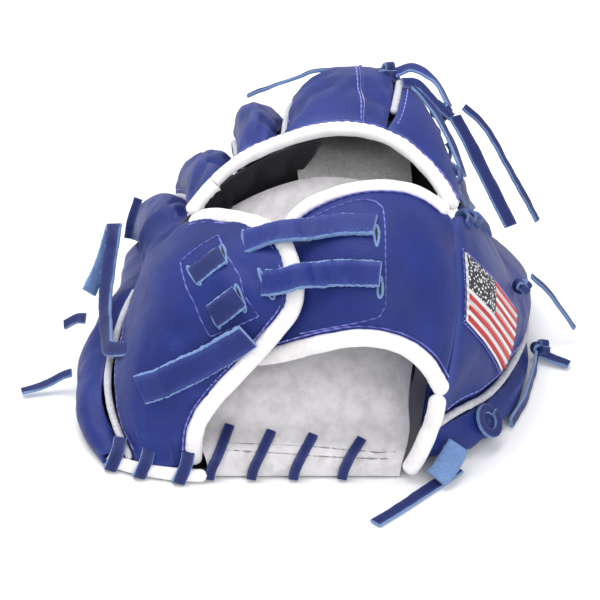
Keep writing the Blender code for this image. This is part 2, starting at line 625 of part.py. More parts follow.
def build_strap():
    strap = loft(STRAP_ROWS, 8, 18)
    sheet("wrist_strap", flip(strap), STRAP, ROYAL)
    under = [row[1:-1] for row in strap[3:-1]]
    sheet("strap_fleece", shifted(flip(under), -(STRAP + LAYER_GAP)), FLEECE_THICK, FLEECE)
    facing = normals(flip(strap))
    reach = BINDING_RADIUS + 3 * EDGE_GAP
    upper = beyond(column(strap, -1), column(strap, -2), reach)
    upper = [p - n * STRAP / 2 for p, n in zip(upper, column(facing, 0))]
    cord("strap_upper_binding", upper[7:-1], BINDING_RADIUS, WHITE)
    lower = beyond(column(strap, 0), column(strap, 1), reach)
    lower = [p - n * STRAP / 2 for p, n in zip(lower, column(facing, -1))]
    cord("strap_lower_binding", lower[7:], BINDING_RADIUS, WHITE)


def beyond(edge, neighbour, distance):
    """Points past a panel's edge, carried on in the direction from the neighbouring column to the edge."""
    return [p + (p - q).normalized() * distance for p, q in zip(edge, neighbour)]


def column(grid, i):
    return [row[i] for row in grid]


def between(one, other):
    return [(a + b) / 2 for a, b in zip(one, other)]


def build_edges():
    """The white binding of the knuckle opening and the thumb side of the wrist opening."""
    cord("knuckle_binding", KNUCKLE_EDGE, BINDING_RADIUS, WHITE)
    cord("thumb_binding", THUMB_EDGE, BINDING_RADIUS, WHITE)


def build_web():
    """Two panels laced down the middle; each stops short of the other by the width of the seam."""
    grid = loft(WEB_ROWS, 12, 12)
    sheet("web_index_half", [row[:6] for row in grid], SHELL, ROYAL)
    sheet("web_thumb_half", [row[7:] for row in grid], SHELL, ROYAL)
    seam = column(grid, 6)
    facing = column(normals(grid), 6)
    stops = [(p + n * 2.2, n) for p, n in zip(seam, facing)][::3]
    lace("web_center_lace", stops, 9.0, NAVY, count=13)


def build_welts(pinky_back, palm, thumb_back, thumb_palm):
    """Grey piping in the seams between the back panels and the palm leather."""
    outer = between(column(pinky_back, 0)[:16], through(column(palm, 0), 16))
    cord("pinky_welt", outer, WELT_RADIUS, GREY)
    for finger in ("ring", "middle", "index"):
        seam = [arc(frame, 179.0, 181.0, 2)[1] for frame in stall_frames(finger)]
        cord(f"{finger}_welt", seam[:-1], WELT_RADIUS, GREY)
    back = column(stall_grid("index", 180 - SEAM_ANGLE, 50, 8), -1)
    web_side = through(column(loft(INDEX_WING_ROWS, 6, 12), 0), len(back))
    cord("wing_welt", between(back, web_side)[1:-1], WELT_RADIUS, GREY)
    rim = through(column(thumb_palm, -1), 15)
    cord("thumb_welt", between(column(thumb_back, 0), rim), WELT_RADIUS, GREY)


def sampled(grid, row, col):
    """A point of the grid at fractional row and column."""
    j, i = min(int(row), len(grid) - 2), min(int(col), len(grid[0]) - 2)
    v, u = row - j, col - i
    near = grid[j][i].lerp(grid[j][i + 1], u)
    far = grid[j + 1][i].lerp(grid[j + 1][i + 1], u)
    return near.lerp(far, v)


def patch_grid(grid, corners, steps):
    """A grid of points between four (row, column) corners of another grid."""
    first, second, third, fourth = [Vector(c) for c in corners]
    rows = []
    for j in range(steps + 1):
        left = first.lerp(fourth, j / steps)
        right = second.lerp(third, j / steps)
        line = [left.lerp(right, i / steps) for i in range(steps + 1)]
        rows.append([sampled(grid, p.x, p.y) for p in line])
    return rows


def build_patch(thumb_back):
    """The sewn striped patch on the thumb, standing just off the leather."""
    place = patch_grid(thumb_back, PATCH_CORNERS, 8)
    lifted = shifted(place, PATCH_GAP + PATCH)
    sheet("thumb_patch", lifted, PATCH, RED)


def build_laces():
    for name, (stops, width) in LACES.items():
        lace(name, stops, width, SUEDE if name in SUEDE_LACES else NAVY)
    loop("thumb_loop", (86.8, 19.6, 13.6), (0.70, -0.42, 0.57), 5.6, 1.5, NAVY)
    build_heel_lace()


def build_heel_lace():
    """The lace whipped over the rolled front edge of the heel, as short slanted stitches."""
    for i, (x, far) in enumerate(HEEL_STITCHES):
        stops = [((x - 9, -8.6, 1.2), (0, -1, 0)), ((x - 8, -8.3, 6), (0, -1, 0.1)),
                 ((x - 5, -5.8, 12), (0, -0.7, 0.7)), ((x, far, far * 0.36 + 15.2), (0, -0.45, 0.9))]
        lace(f"heel_stitch_{i + 1}", stops, 4.6, NAVY, count=9)


def hang_on_pivots():
    """Parents each moving piece to an empty on its joint's axis, where it stays in place."""
    for name, (spot, pieces) in PIVOTS.items():
        pivot = bpy.data.objects.new(f"{name}_pivot", None)
        pivot.location = Vector(spot) * MM
        pivot.empty_display_size = 10 * MM
        glove.objects.link(pivot)
        for piece in pieces:
            child = glove.objects[piece]
            child.parent = pivot
            child.matrix_parent_inverse = Matrix.Translation(-pivot.location)


clear_scene()
glove = new_collection("fielding_glove")
palm_leather = build_palm()
pinky_leather = build_backs()
thumb_leather, thumb_front = build_thumb()
build_strap()
build_edges()
build_web()
build_welts(pinky_leather, palm_leather, thumb_leather, thumb_front)
build_patch(thumb_leather)
build_laces()
hang_on_pivots()
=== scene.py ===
"""The looks of a leather fielding glove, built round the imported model.

Each CAD sheet is read back as a grid of points, and the fine leather, lace, binding and stitching are built
on those grids, so every piece sits where the model says. Sizes are in metres unless a comment or docstring
says millimetres; MM turns millimetres into metres.
"""

import json
import math

import bmesh
import bpy
import numpy as np
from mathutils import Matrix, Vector, noise

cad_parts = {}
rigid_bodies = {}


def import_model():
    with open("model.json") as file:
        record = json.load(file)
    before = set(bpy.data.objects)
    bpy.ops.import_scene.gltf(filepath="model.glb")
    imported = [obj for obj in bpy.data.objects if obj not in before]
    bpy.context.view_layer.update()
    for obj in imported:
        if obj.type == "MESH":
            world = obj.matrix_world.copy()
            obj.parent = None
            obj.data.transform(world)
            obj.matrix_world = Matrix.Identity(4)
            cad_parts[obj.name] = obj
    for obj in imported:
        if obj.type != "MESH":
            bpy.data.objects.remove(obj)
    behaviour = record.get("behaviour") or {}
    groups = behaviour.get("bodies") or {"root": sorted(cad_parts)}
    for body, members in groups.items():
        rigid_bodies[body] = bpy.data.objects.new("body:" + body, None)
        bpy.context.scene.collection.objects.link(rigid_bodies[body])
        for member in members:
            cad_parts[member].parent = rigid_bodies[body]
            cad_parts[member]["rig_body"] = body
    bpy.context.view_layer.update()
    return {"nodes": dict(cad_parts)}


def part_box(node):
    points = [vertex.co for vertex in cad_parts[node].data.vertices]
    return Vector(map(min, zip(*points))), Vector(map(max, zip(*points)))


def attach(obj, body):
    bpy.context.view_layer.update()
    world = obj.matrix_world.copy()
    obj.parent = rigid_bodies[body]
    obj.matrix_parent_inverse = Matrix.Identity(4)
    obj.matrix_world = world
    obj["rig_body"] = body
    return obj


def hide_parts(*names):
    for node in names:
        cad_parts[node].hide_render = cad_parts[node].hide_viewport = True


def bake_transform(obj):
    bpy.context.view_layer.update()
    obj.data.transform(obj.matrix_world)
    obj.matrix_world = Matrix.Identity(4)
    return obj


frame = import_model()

MM = 0.001
WELD = 0.02 * MM
LEATHER = 2.4 * MM
LACE = 1.5 * MM
CORE = np.array([0.0, 90.0, 30.0]) * MM


# ---------------------------------------------------------------- reading the model

def welded(node):
    """The node's mesh as one closed surface of triangles."""
    shape = bmesh.new()
    shape.from_mesh(frame["nodes"][node].data)
    bmesh.ops.remove_doubles(shape, verts=shape.verts, dist=WELD)
    shape.normal_update()
    return shape


def agreement(group, look):
    """How much of a group of faces looks this way."""
    return sum(face.normal.dot(look) * face.calc_area() for face in group)


def smooth_stretches(shape, fold=55):
    """Groups of faces that meet at less than the fold angle, largest first."""
    seen = set()
    groups = []
    limit = math.radians(fold)
    for face in shape.faces:
        if face in seen:
            continue
        seen.add(face)
        group = [face]
        for member in group:
            for edge in member.edges:
                if edge.calc_face_angle(math.pi) > limit:
                    continue
                for near in edge.link_faces:
                    if near not in seen:
                        seen.add(near)
                        group.append(near)
        groups.append(group)
    return sorted(groups, key=lambda group: -sum(face.calc_area() for face in group))


def border_loop(inside):
    """The vertices round the edge of a patch of faces, in order."""
    rim = {edge for face in inside for edge in face.edges if sum(f in inside for f in edge.link_faces) == 1}
    first = min((edge.verts[0] for edge in rim), key=lambda vert: tuple(vert.co))
    loop, edge = [first], next(edge for edge in first.link_edges if edge in rim)
    while True:
        vert = edge.other_vert(loop[-1])
        if vert is first:
            return loop
        loop.append(vert)
        edge = next(e for e in vert.link_edges if e in rim and e is not edge)


def turning(loop, i):
    """How sharply the border turns at one of its vertices."""
    here = loop[i].co
    before, after = here - loop[i - 1].co, loop[(i + 1) % len(loop)].co - here
    return before.angle(after, 0.0)


def corner_places(loop, count):
    """Where the four corners of a rectangular patch with this many vertices are on its border."""
    half = len(loop) // 2
    root = math.sqrt(max(half * half - 4 * (count - 1 - half), 0))
    one = round((half + root) / 2)
    turns = [turning(loop, i) for i in range(len(loop))]
    best = None
    for length in (one, half - one):
        for shift in range(len(loop)):
            places = [(shift + step) % len(loop) for step in (0, length, half, half + length)]
            score = sum(turns[i] for i in places)
            if best is None or score > best[0]:
                best = (score, places)
    return best[1]


def rows_of(faces, start, row_end):
    """A rectangular patch as rows of points. It starts at the corner furthest along start, and the first row
    ends at the neighbouring corner furthest along row_end."""
    inside = set(faces)
    loop = border_loop(inside)
    patch = {vert for face in faces for vert in face.verts}
    corners = corner_places(loop, len(patch))
    k = max(range(4), key=lambda i: loop[corners[i]].co.dot(Vector(start)))
    turn = loop[corners[k]:] + loop[:corners[k]]
    places = sorted((c - corners[k]) % len(loop) for c in corners)
    ahead, behind = turn[places[1]], turn[places[3]]
    if behind.co.dot(Vector(row_end)) > ahead.co.dot(Vector(row_end)):
        turn = [turn[0]] + turn[:0:-1]
        places = sorted((len(loop) - p) % len(loop) for p in places)
    row = turn[:places[1] + 1]
    side = [turn[0]] + turn[:places[3] - 1:-1]
    rows, seen = [row], set(row)
    for first in side[1:]:
        near = {edge.other_vert(vert) for vert in rows[-1] for edge in vert.link_edges}
        waiting = (near & patch) - seen
        line = [first]
        waiting.discard(first)
        while waiting:
            beside = (edge.other_vert(line[-1]) for edge in line[-1].link_edges)
            after = next((vert for vert in beside if vert in waiting), None)
            if after is None:
                break
            waiting.discard(after)
            line.append(after)
        rows.append(line)
        seen |= set(line)
    return np.array([[tuple(vert.co) for vert in line] for line in rows])


class Sheet:
    """A CAD sheet: its outer face as a grid of points, with the sign that turns its normals outwards."""

    def __init__(self, points, sign):
        self.points = points
        self.sign = sign

    def normals(self):
        return self.sign * grid_normals(self.points)

    def at(self, v, u):
        """Point and normal at shares v along the rows and u across them."""
        rows, across = len(self.points) - 1, len(self.points[0]) - 1
        j, i = min(int(v * rows), rows - 1), min(int(u * across), across - 1)
        dv, du = v * rows - j, u * across - i
        found = []
        for field in (self.points, self.normals()):
            near = field[j, i] * (1 - du) + field[j, i + 1] * du
            far = field[j + 1, i] * (1 - du) + field[j + 1, i + 1] * du
            found.append(near * (1 - dv) + far * dv)
        return found[0], found[1] / np.linalg.norm(found[1])


def grid_normals(points):
    down = np.gradient(points, axis=0)
    over = np.gradient(points, axis=1)
    normal = np.cross(over, down)
    return normal / np.maximum(np.linalg.norm(normal, axis=2, keepdims=True), 1e-12)


def sheet_of(node, start, row_end, facing=None):
    """The outer face of a CAD sheet; facing is the way that face looks, away from the hand by default."""
    shape = welded(node)
    sides = smooth_stretches(shape)[:2]
    middle = np.mean([tuple(vert.co) for vert in shape.verts], axis=0)
    look = Vector(facing if facing is not None else middle - CORE)
    outer = max(sides, key=lambda group: agreement(group, look))
    points = rows_of(outer, start, row_end)
    first_face = min(outer, key=lambda f: (f.calc_center_median() - Vector(points[0, 0])).length)
    cell = points[:2, :2]
    turned = np.cross(cell[0, 1] - cell[0, 0], cell[1, 0] - cell[0, 0])
    sign = 1.0 if Vector(turned).dot(first_face.normal) > 0 else -1.0
    shape.free()
    return Sheet(points, sign)


def rings_from(ring):
    """Rings of points along a tube or strip, from the vertices of its first ring."""
    seen, rings = set(), []
    while ring:
        rings.append(np.array([tuple(vert.co) for vert in ring]))
        seen |= ring
        ring = {edge.other_vert(vert) for vert in ring for edge in vert.link_edges} - seen
    return rings


def cord_line(node):
    """The centre line of a CAD cord, from one cut end to the other."""
    shape = welded(node)
    sharp = [edge for edge in shape.edges if edge.calc_face_angle(0.0) > math.radians(75)]
    ends = {vert for edge in sharp for vert in edge.verts}
    first = min(ends, key=lambda vert: tuple(vert.co))
    ring, pending = {first}, [first]
    for vert in pending:
        for edge in vert.link_edges:
            other = edge.other_vert(vert)
            if edge in sharp and other not in ring:
                ring.add(other)
                pending.append(other)
    line = np.array([ring.mean(axis=0) for ring in rings_from(ring)])
    shape.free()
    return line


# ---------------------------------------------------------------- grids of points

def finer(points, times, axis=0):
    """The points with smooth curve points added between them along one axis."""
    lines = np.moveaxis(points, axis, 0)
    padded = np.concatenate([2 * lines[:1] - lines[1:2], lines, 2 * lines[-1:] - lines[-2:-1]])
    made = []
    for a, b, c, d in zip(padded, padded[1:], padded[2:], padded[3:]):
        for t in np.arange(times) / times:
            curve = 2 * b + (c - a) * t + (2 * a - 5 * b + 4 * c - d) * t * t
            made.append(0.5 * (curve + (3 * b - a - 3 * c + d) * t ** 3))
    made.append(lines[-1])
    return np.moveaxis(np.array(made), 0, axis)


def finer_grid(points, times):
    return finer(finer(points, times, 0), times, 1)


def border_distances(points):
    """How far each point is from the start, end, left and right borders, along the surface."""
    down = np.linalg.norm(np.diff(points, axis=0), axis=2)
    over = np.linalg.norm(np.diff(points, axis=1), axis=2)
    along = np.concatenate([np.zeros((1, points.shape[1])), np.cumsum(down, axis=0)])
    across = np.concatenate([np.zeros((points.shape[0], 1)), np.cumsum(over, axis=1)], axis=1)
    return along, along[-1:] - along, across, across[:, -1:] - across


def grown(points, by):
    """The grid with its start, end, left and right borders carried on by these distances."""
    made = points.copy()
    for border, inner, distance in ((0, 1, by[0]), (-1, -2, by[1])):
        step = points[border] - points[inner]
        length = np.maximum(np.linalg.norm(step, axis=1, keepdims=True), 1e-9)
        made[border] += step / length * distance
    for border, inner, distance in ((0, 1, by[2]), (-1, -2, by[3])):
        step = made[:, border] - made[:, inner]
        length = np.maximum(np.linalg.norm(step, axis=1, keepdims=True), 1e-9)
        made[:, border] += step / length * distance
    return made


def ease(x):
    x = np.clip(x, 0.0, 1.0)
    return x * x * (3 - 2 * x)


def rumple(points, size, seed, octaves=3):
    """Soft noise from -1 to 1 at each point, with features of about this size."""
    shift = Vector((seed * 17.3, seed * 5.1, seed * 9.7))
    flat = points.reshape(-1, 3) / size
    values = [noise.fractal(Vector(p) + shift, 1.0, 2.0, octaves) for p in flat]
    return np.array(values).reshape(points.shape[:-1])


def resampled(line, step):
    """Points at about equal steps along a line of points."""
    lengths = np.concatenate([[0], np.cumsum(np.linalg.norm(np.diff(line, axis=0), axis=1))])
    count = max(2, int(round(lengths[-1] / step)) + 1)
    want = np.linspace(0, lengths[-1], count)
    return np.stack([np.interp(want, lengths, line[:, k]) for k in range(line.shape[1])], axis=1)


def resampled_with(line, looks, step):
    """The same, with the facing directions of the points."""
    joined = resampled(np.concatenate([line, looks], axis=1), step)
    return joined[:, :3], unit(joined[:, 3:])


def unit(vectors):
    return vectors / np.maximum(np.linalg.norm(vectors, axis=-1, keepdims=True), 1e-12)


def tangents(line):
    return unit(np.gradient(line, axis=0))


def frames_along(line, up_hints):
    """Side and up vectors along a line, with up kept near the hints."""
    ahead = tangents(line)
    up = unit(up_hints - ahead * np.sum(up_hints * ahead, axis=1, keepdims=True))
    return np.cross(ahead, up), up


def oval(width, height, count, power):
    """A rounded section: half width, half height and squareness."""
    made = []
    for i in range(count):
        a = 2 * math.pi * i / count
        c, s = math.cos(a), math.sin(a)
        r = (abs(c) ** power + abs(s) ** power) ** (-1 / power)
        made.append((width * r * c, height * r * s))
    return made


def smoothed(vectors, times):
    for _ in range(times):
        padded = np.concatenate([vectors[:1], vectors, vectors[-1:]])
        vectors = (padded[:-2] + padded[1:-1] * 2 + padded[2:]) / 4
    return vectors


# ---------------------------------------------------------------- materials

def shader(name):
    """A new material with its node tree, its surface node and its object coordinates."""
    made = bpy.data.materials.new(name)
    made.use_nodes = True
    tree = made.node_tree
    vector = tree.nodes.new("ShaderNodeTexCoord").outputs["Object"]
    return made, tree, tree.nodes["Principled BSDF"], vector


def set_inputs(made, **values):
    """Sets a node's inputs by name; an underscore stands for a space."""
    for key, value in values.items():
        made.inputs[key.replace("_", " ")].default_value = value


def texture(tree, kind, vector, size, **values):
    """A texture node with features of about this size."""
    made = tree.nodes.new("ShaderNodeTex" + kind)
    set_inputs(made, Scale=1 / size, **values)
    tree.links.new(vector, made.inputs["Vector"])
    return made


def clouds(tree, vector, size, detail, rough=0.55, distortion=0.0):
    made = texture(tree, "Noise", vector, size, Detail=detail, Roughness=rough, Distortion=distortion)
    return made.outputs["Fac"]


def cells(tree, vector, size):
    return texture(tree, "Voronoi", vector, size).outputs["Distance"]


def waves(tree, vector, size, direction, distortion=0.0):
    made = texture(tree, "Wave", vector, size, Distortion=distortion)
    made.bands_direction = direction
    return made.outputs["Fac"]


def ramp(tree, value, stops):
    """A colour ramp; stops are (place, colour)."""
    made = tree.nodes.new("ShaderNodeValToRGB")
    band = made.color_ramp
    while len(band.elements) < len(stops):
        band.elements.new(0.5)
    for element, (at, colour) in zip(band.elements, stops):
        element.position = at
        element.color = (*colour, 1)
    tree.links.new(value, made.inputs["Fac"])
    return made.outputs["Color"]


def grey(level):
    return (level, level, level)


def mixed(tree, share, a, b):
    """Colour a turning into colour b; each is a socket or a colour."""
    made = tree.nodes.new("ShaderNodeMix")
    made.data_type = "RGBA"
    for socket, value in zip((made.inputs[0], made.inputs[6], made.inputs[7]), (share, a, b)):
        if isinstance(value, tuple):
            socket.default_value = (*value, 1)
        else:
            tree.links.new(value, socket)
    return made.outputs[2]


def bumps(tree, base, *layers):
    """Chained bumps; each layer is (height value, depth in metres, strength)."""
    previous = None
    for height, depth, strength in layers:
        made = tree.nodes.new("ShaderNodeBump")
        set_inputs(made, Distance=depth, Strength=strength)
        tree.links.new(height, made.inputs["Height"])
        if previous:
            tree.links.new(previous, made.inputs["Normal"])
        previous = made.outputs["Normal"]
    tree.links.new(previous, base.inputs["Normal"])


def leather(name, colour, deep, worn, rough=(0.46, 0.66)):
    """Smooth grain leather: mottled dye, fine pores, soft creases and paler worn edges."""
    made, tree, base, vector = shader(name)
    dye = ramp(tree, clouds(tree, vector, 26 * MM, 5), [(0.3, deep), (0.7, colour)])
    edges = tree.nodes.new("ShaderNodeNewGeometry").outputs["Pointiness"]
    rub = ramp(tree, edges, [(0.515, grey(0.0)), (0.56, grey(0.55))])
    tree.links.new(mixed(tree, rub, dye, worn), base.inputs["Base Color"])
    polish = tree.nodes.new("ShaderNodeMapRange")
    set_inputs(polish, To_Min=rough[0], To_Max=rough[1])
    tree.links.new(clouds(tree, vector, 9 * MM, 6, 0.65), polish.inputs["Value"])
    tree.links.new(polish.outputs["Result"], base.inputs["Roughness"])
    pores = cells(tree, vector, 0.9 * MM)
    crease = clouds(tree, vector, 6 * MM, 6, 0.6, 0.6)
    bumps(tree, base, (crease, 0.9 * MM, 0.4), (pores, 0.14 * MM, 0.5))
    set_inputs(base, Sheen_Weight=0.04, Sheen_Roughness=0.45, Sheen_Tint=(0.8, 0.82, 1.0, 1))
    set_inputs(base, Specular_IOR_Level=0.26, Coat_Weight=0.04, Coat_Roughness=0.35)
    return made


def suede(name, colour, pale):
    """The raw flesh side of lace leather: short pale fibres."""
    made, tree, base, vector = shader(name)
    fibres = clouds(tree, vector, 0.8 * MM, 8, 0.75)
    blotch = clouds(tree, vector, 4 * MM, 3)
    nap = ramp(tree, fibres, [(0.35, colour), (0.68, pale)])
    tree.links.new(mixed(tree, blotch, nap, colour), base.inputs["Base Color"])
    set_inputs(base, Roughness=0.95, Sheen_Weight=0.25)
    bumps(tree, base, (fibres, 0.35 * MM, 0.8))
    return made


def white_leather(name, colour, shade, crease_size, crease_depth, smudge):
    """White leather with fine creases, a faint grey painted shade in the creases and a little grime."""
    made, tree, base, vector = shader(name)
    fold = clouds(tree, vector, crease_size, 6, 0.62, 0.25)
    # Painted shade: where the crease bump is low, the white turns to the shade colour.
    crease_shaded = ramp(tree, fold, [(0.36, shade), (0.6, colour)])
    grime = ramp(tree, clouds(tree, vector, 14 * MM, 6, 0.7), [(0.66, grey(0.0)), (0.8, grey(smudge))])
    tree.links.new(mixed(tree, grime, crease_shaded, (0.42, 0.40, 0.37)), base.inputs["Base Color"])
    set_inputs(base, Roughness=0.55, Sheen_Weight=0.2)
    bumps(tree, base, (fold, crease_depth, 0.5), (cells(tree, vector, 0.8 * MM), 0.06 * MM, 0.3))
    return made


def woven(name, colour, deep, pitch):
    """Coarse cotton tape: crossed sets of ridges."""
    made, tree, base, vector = shader(name)
    ridges = [waves(tree, vector, pitch * 20, direction, 1.5) for direction in "XYZ"]
    total = ridges[0]
    for more in ridges[1:]:
        both = tree.nodes.new("ShaderNodeMath")
        tree.links.new(total, both.inputs[0])
        tree.links.new(more, both.inputs[1])
        total = both.outputs[0]
    fuzz = clouds(tree, vector, 1.2 * MM, 6, 0.7)
    tree.links.new(ramp(tree, fuzz, [(0.35, deep), (0.65, colour)]), base.inputs["Base Color"])
    set_inputs(base, Roughness=0.9)
    bumps(tree, base, (total, 0.3 * MM, 0.7), (fuzz, 0.2 * MM, 0.5))
    return made


def thread(name, colour, deep):
    """Waxed sewing thread with its twist."""
    made, tree, base, vector = shader(name)
    twist = waves(tree, vector, 8 * MM, "DIAGONAL")
    tree.links.new(ramp(tree, twist, [(0.2, deep), (0.8, colour)]), base.inputs["Base Color"])
    set_inputs(base, Roughness=0.5)
    bumps(tree, base, (twist, 0.1 * MM, 0.5))
    return made


def pile(name, colour, deep, size):
    """Fleece or felt: soft clumps of fibre."""
    made, tree, base, vector = shader(name)
    clumps = clouds(tree, vector, size, 8, 0.8)
    tree.links.new(ramp(tree, clumps, [(0.3, deep), (0.7, colour)]), base.inputs["Base Color"])
    set_inputs(base, Roughness=1.0, Sheen_Weight=0.4)
    bumps(tree, base, (clumps, 1.2 * MM, 0.9))
    return made


def speckle(name):
    """Embroidered field of black and silver flecks."""
    made, tree, base, vector = shader(name)
    flecks = cells(tree, vector, 1.5 * MM)
    spots = ramp(tree, flecks, [(0.30, (0.75, 0.76, 0.78)), (0.42, (0.02, 0.02, 0.03))])
    tree.links.new(spots, base.inputs["Base Color"])
    set_inputs(base, Roughness=0.6)
    bumps(tree, base, (flecks, 0.3 * MM, 0.6))
    return made


royal = leather("royal_leather", (0.0115, 0.0265, 0.190), (0.007, 0.017, 0.130), (0.05, 0.075, 0.29))
royal_dark = leather("lace_leather", (0.010, 0.020, 0.125), (0.006, 0.012, 0.08), (0.045, 0.065, 0.21),
                     (0.45, 0.65))
# Black lining leather for the stall insides, dark also as painted shade there, and the black of the painted
# shadow in slits and stall roots.
black_lining_and_shade = leather("stall_lining_and_shade", (0.016, 0.016, 0.019), (0.007, 0.007, 0.009), (0.05, 0.05, 0.06))
pale_suede = suede("pale_suede", (0.10, 0.19, 0.42), (0.27, 0.42, 0.66))
flesh_side = suede("flesh_side", (0.05, 0.10, 0.30), (0.12, 0.20, 0.45))
binding_white = white_leather("binding_leather", (0.86, 0.84, 0.85), (0.74, 0.72, 0.73), 12 * MM, 0.5 * MM,
                              0.35)
lining_white = white_leather("lining_leather", (0.68, 0.66, 0.68), (0.55, 0.53, 0.55), 7 * MM, 0.8 * MM, 0.12)
tape = woven("welt_tape", (0.62, 0.62, 0.66), (0.40, 0.41, 0.46), 0.9 * MM)
shearling = pile("shearling", (0.62, 0.61, 0.62), (0.30, 0.29, 0.30), 2.2 * MM)
felt = pile("felt", (0.62, 0.58, 0.50), (0.45, 0.42, 0.36), 2.5 * MM)
fleece = pile("dark_fleece", (0.035, 0.035, 0.037), (0.012, 0.012, 0.013), 3 * MM)
lilac = thread("lilac_thread", (0.30, 0.31, 0.78), (0.13, 0.15, 0.52))
white_thread = thread("white_thread", (0.75, 0.74, 0.76), (0.5, 0.5, 0.52))
red_thread = thread("red_thread", (0.55, 0.022, 0.018), (0.38, 0.010, 0.012))
silver_field = speckle("silver_field")


# ---------------------------------------------------------------- making pieces

def mesh_piece(name, points, faces, materials, kinds=None, sharp=50):
    """A mesh object with smooth faces; kinds gives each face its material's place in the list."""
    mesh = bpy.data.meshes.new(name)
    mesh.from_pydata([tuple(p) for p in points], [], faces)
    for material in materials:
        mesh.materials.append(material)
    if kinds is not None:
        mesh.polygons.foreach_set("material_index", kinds)
    mesh.shade_smooth()
    if sharp:
        mesh.set_sharp_from_angle(angle=math.radians(sharp))
    made = bpy.data.objects.new(name, mesh)
    bpy.context.scene.collection.objects.link(made)
    return made


def closed_piece(name, points, faces, materials, kinds=None, sharp=None):
    """A mesh piece with all its faces turned outwards."""
    made = mesh_piece(name, points, faces, materials, kinds, sharp)
    shape = bmesh.new()
    shape.from_mesh(made.data)
    bmesh.ops.recalc_face_normals(shape, faces=shape.faces)
    shape.to_mesh(made.data)
    shape.free()
    return made


def out_of_hand(cad_node):
    """The way from the hand to the middle of a CAD node's box."""
    low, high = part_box(cad_node)
    return (np.array(low) + np.array(high)) / 2 - CORE


# Two points across the thumb's leather, and two down its binding; the pieces named in BENDING are left off
# the bodies.
ACROSS_THUMB = ((0.060, 0.02, 0.05), (0.098, 0.02, 0.05))
DOWN_THUMB = ((0.064, -0.004, 0.044), (0.049, -0.009, 0.004))
BENDING = {"thumb_back": ACROSS_THUMB, "thumb_patch": ACROSS_THUMB, "thumb_binding": DOWN_THUMB}


def rides_like(piece, cad_node):
    """The piece moves with the CAD node's body; the pieces of the nodes named in BENDING keep their baked
    placing and are not attached.
    """
    body = frame["nodes"][cad_node]["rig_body"]
    if cad_node in BENDING:
        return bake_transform(piece)
    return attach(piece, body)


def stands_for(piece, cad_node):
    """The piece takes the CAD node's place and rides like it; the CAD node is hidden."""
    rides_like(piece, cad_node)
    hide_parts(cad_node)
    return piece


def grid_faces(rows, across, base=0, turned=False):
    """The quads of a grid whose first point is at place base in the list of points."""
    faces = []
    for j in range(rows - 1):
        for a in range(base + j * across, base + (j + 1) * across - 1):
            b = a + across
            faces.append((a, b, b + 1, a + 1) if turned else (a, a + 1, b + 1, b))
    return faces


def rim_places(rows, across):
    """The places of a grid's border points, in order round it."""
    ring = list(range(across)) + [j * across + across - 1 for j in range(1, rows)]
    ring += [(rows - 1) * across + i for i in range(across - 2, -1, -1)]
    return ring + [j * across for j in range(rows - 2, 0, -1)]


def sheet_faces(rows, across, base=0):
    """The faces of a closed sheet between two grids: its outer ones, its inner ones and its rim."""
    under = base + rows * across
    ring = rim_places(rows, across)
    rim = [(base + b, base + a, under + a, under + b) for a, b in zip(ring, ring[1:] + ring[:1])]
    return grid_faces(rows, across, base), grid_faces(rows, across, under, True), rim


def slab(name, outer, inner, materials):
    """A closed sheet between two grids. Materials are for its outer face, its inner face and its rim."""
    sides = sheet_faces(*outer.shape[:2])
    points = np.concatenate([outer.reshape(-1, 3), inner.reshape(-1, 3)])
    kinds = [kind for kind, side in enumerate(sides) for face in side]
    return mesh_piece(name, points, sum(sides, []), materials, kinds)


def joined_slabs(name, pairs, material):
    """One piece made of several small closed sheets, each given as its outer and inner grid."""
    points, faces = [], []
    for outer, inner in pairs:
        faces += sum(sheet_faces(*outer.shape[:2], len(points)), [])
        points += list(outer.reshape(-1, 3)) + list(inner.reshape(-1, 3))
    return closed_piece(name, points, faces, [material], sharp=60)


def tube_faces(rows, count, base=0, endless=False):
    """The faces of a tube through rings of points: closed at both ends, or joined up where it is endless."""
    faces = []
    for j in range(rows if endless else rows - 1):
        near, far = base + j * count, base + (j + 1) % rows * count
        for i in range(count):
            after = (i + 1) % count
            faces.append((near + i, near + after, far + after, far + i))
    if not endless:
        last = base + (rows - 1) * count
        faces += [tuple(range(base + count - 1, base - 1, -1)), tuple(range(last, last + count))]
    return faces


def tube(name, rings, material, endless=False):
    rings = np.array(rings)
    return closed_piece(name, rings.reshape(-1, 3), tube_faces(*rings.shape[:2], 0, endless), [material])


def flipped_if(points, sign):
    """The grid with its columns turned round where the sign asks for it, so that its faces look outwards."""
    return points if sign > 0 else points[:, ::-1]


CLOTH = {"vertex_group_mass": "held", "quality": 6, "mass": 0.4, "tension_stiffness": 25,
         "compression_stiffness": 25, "shear_stiffness": 15, "bending_stiffness": 1.5, "use_pressure": True}
CLOTH_FRAMES = 20


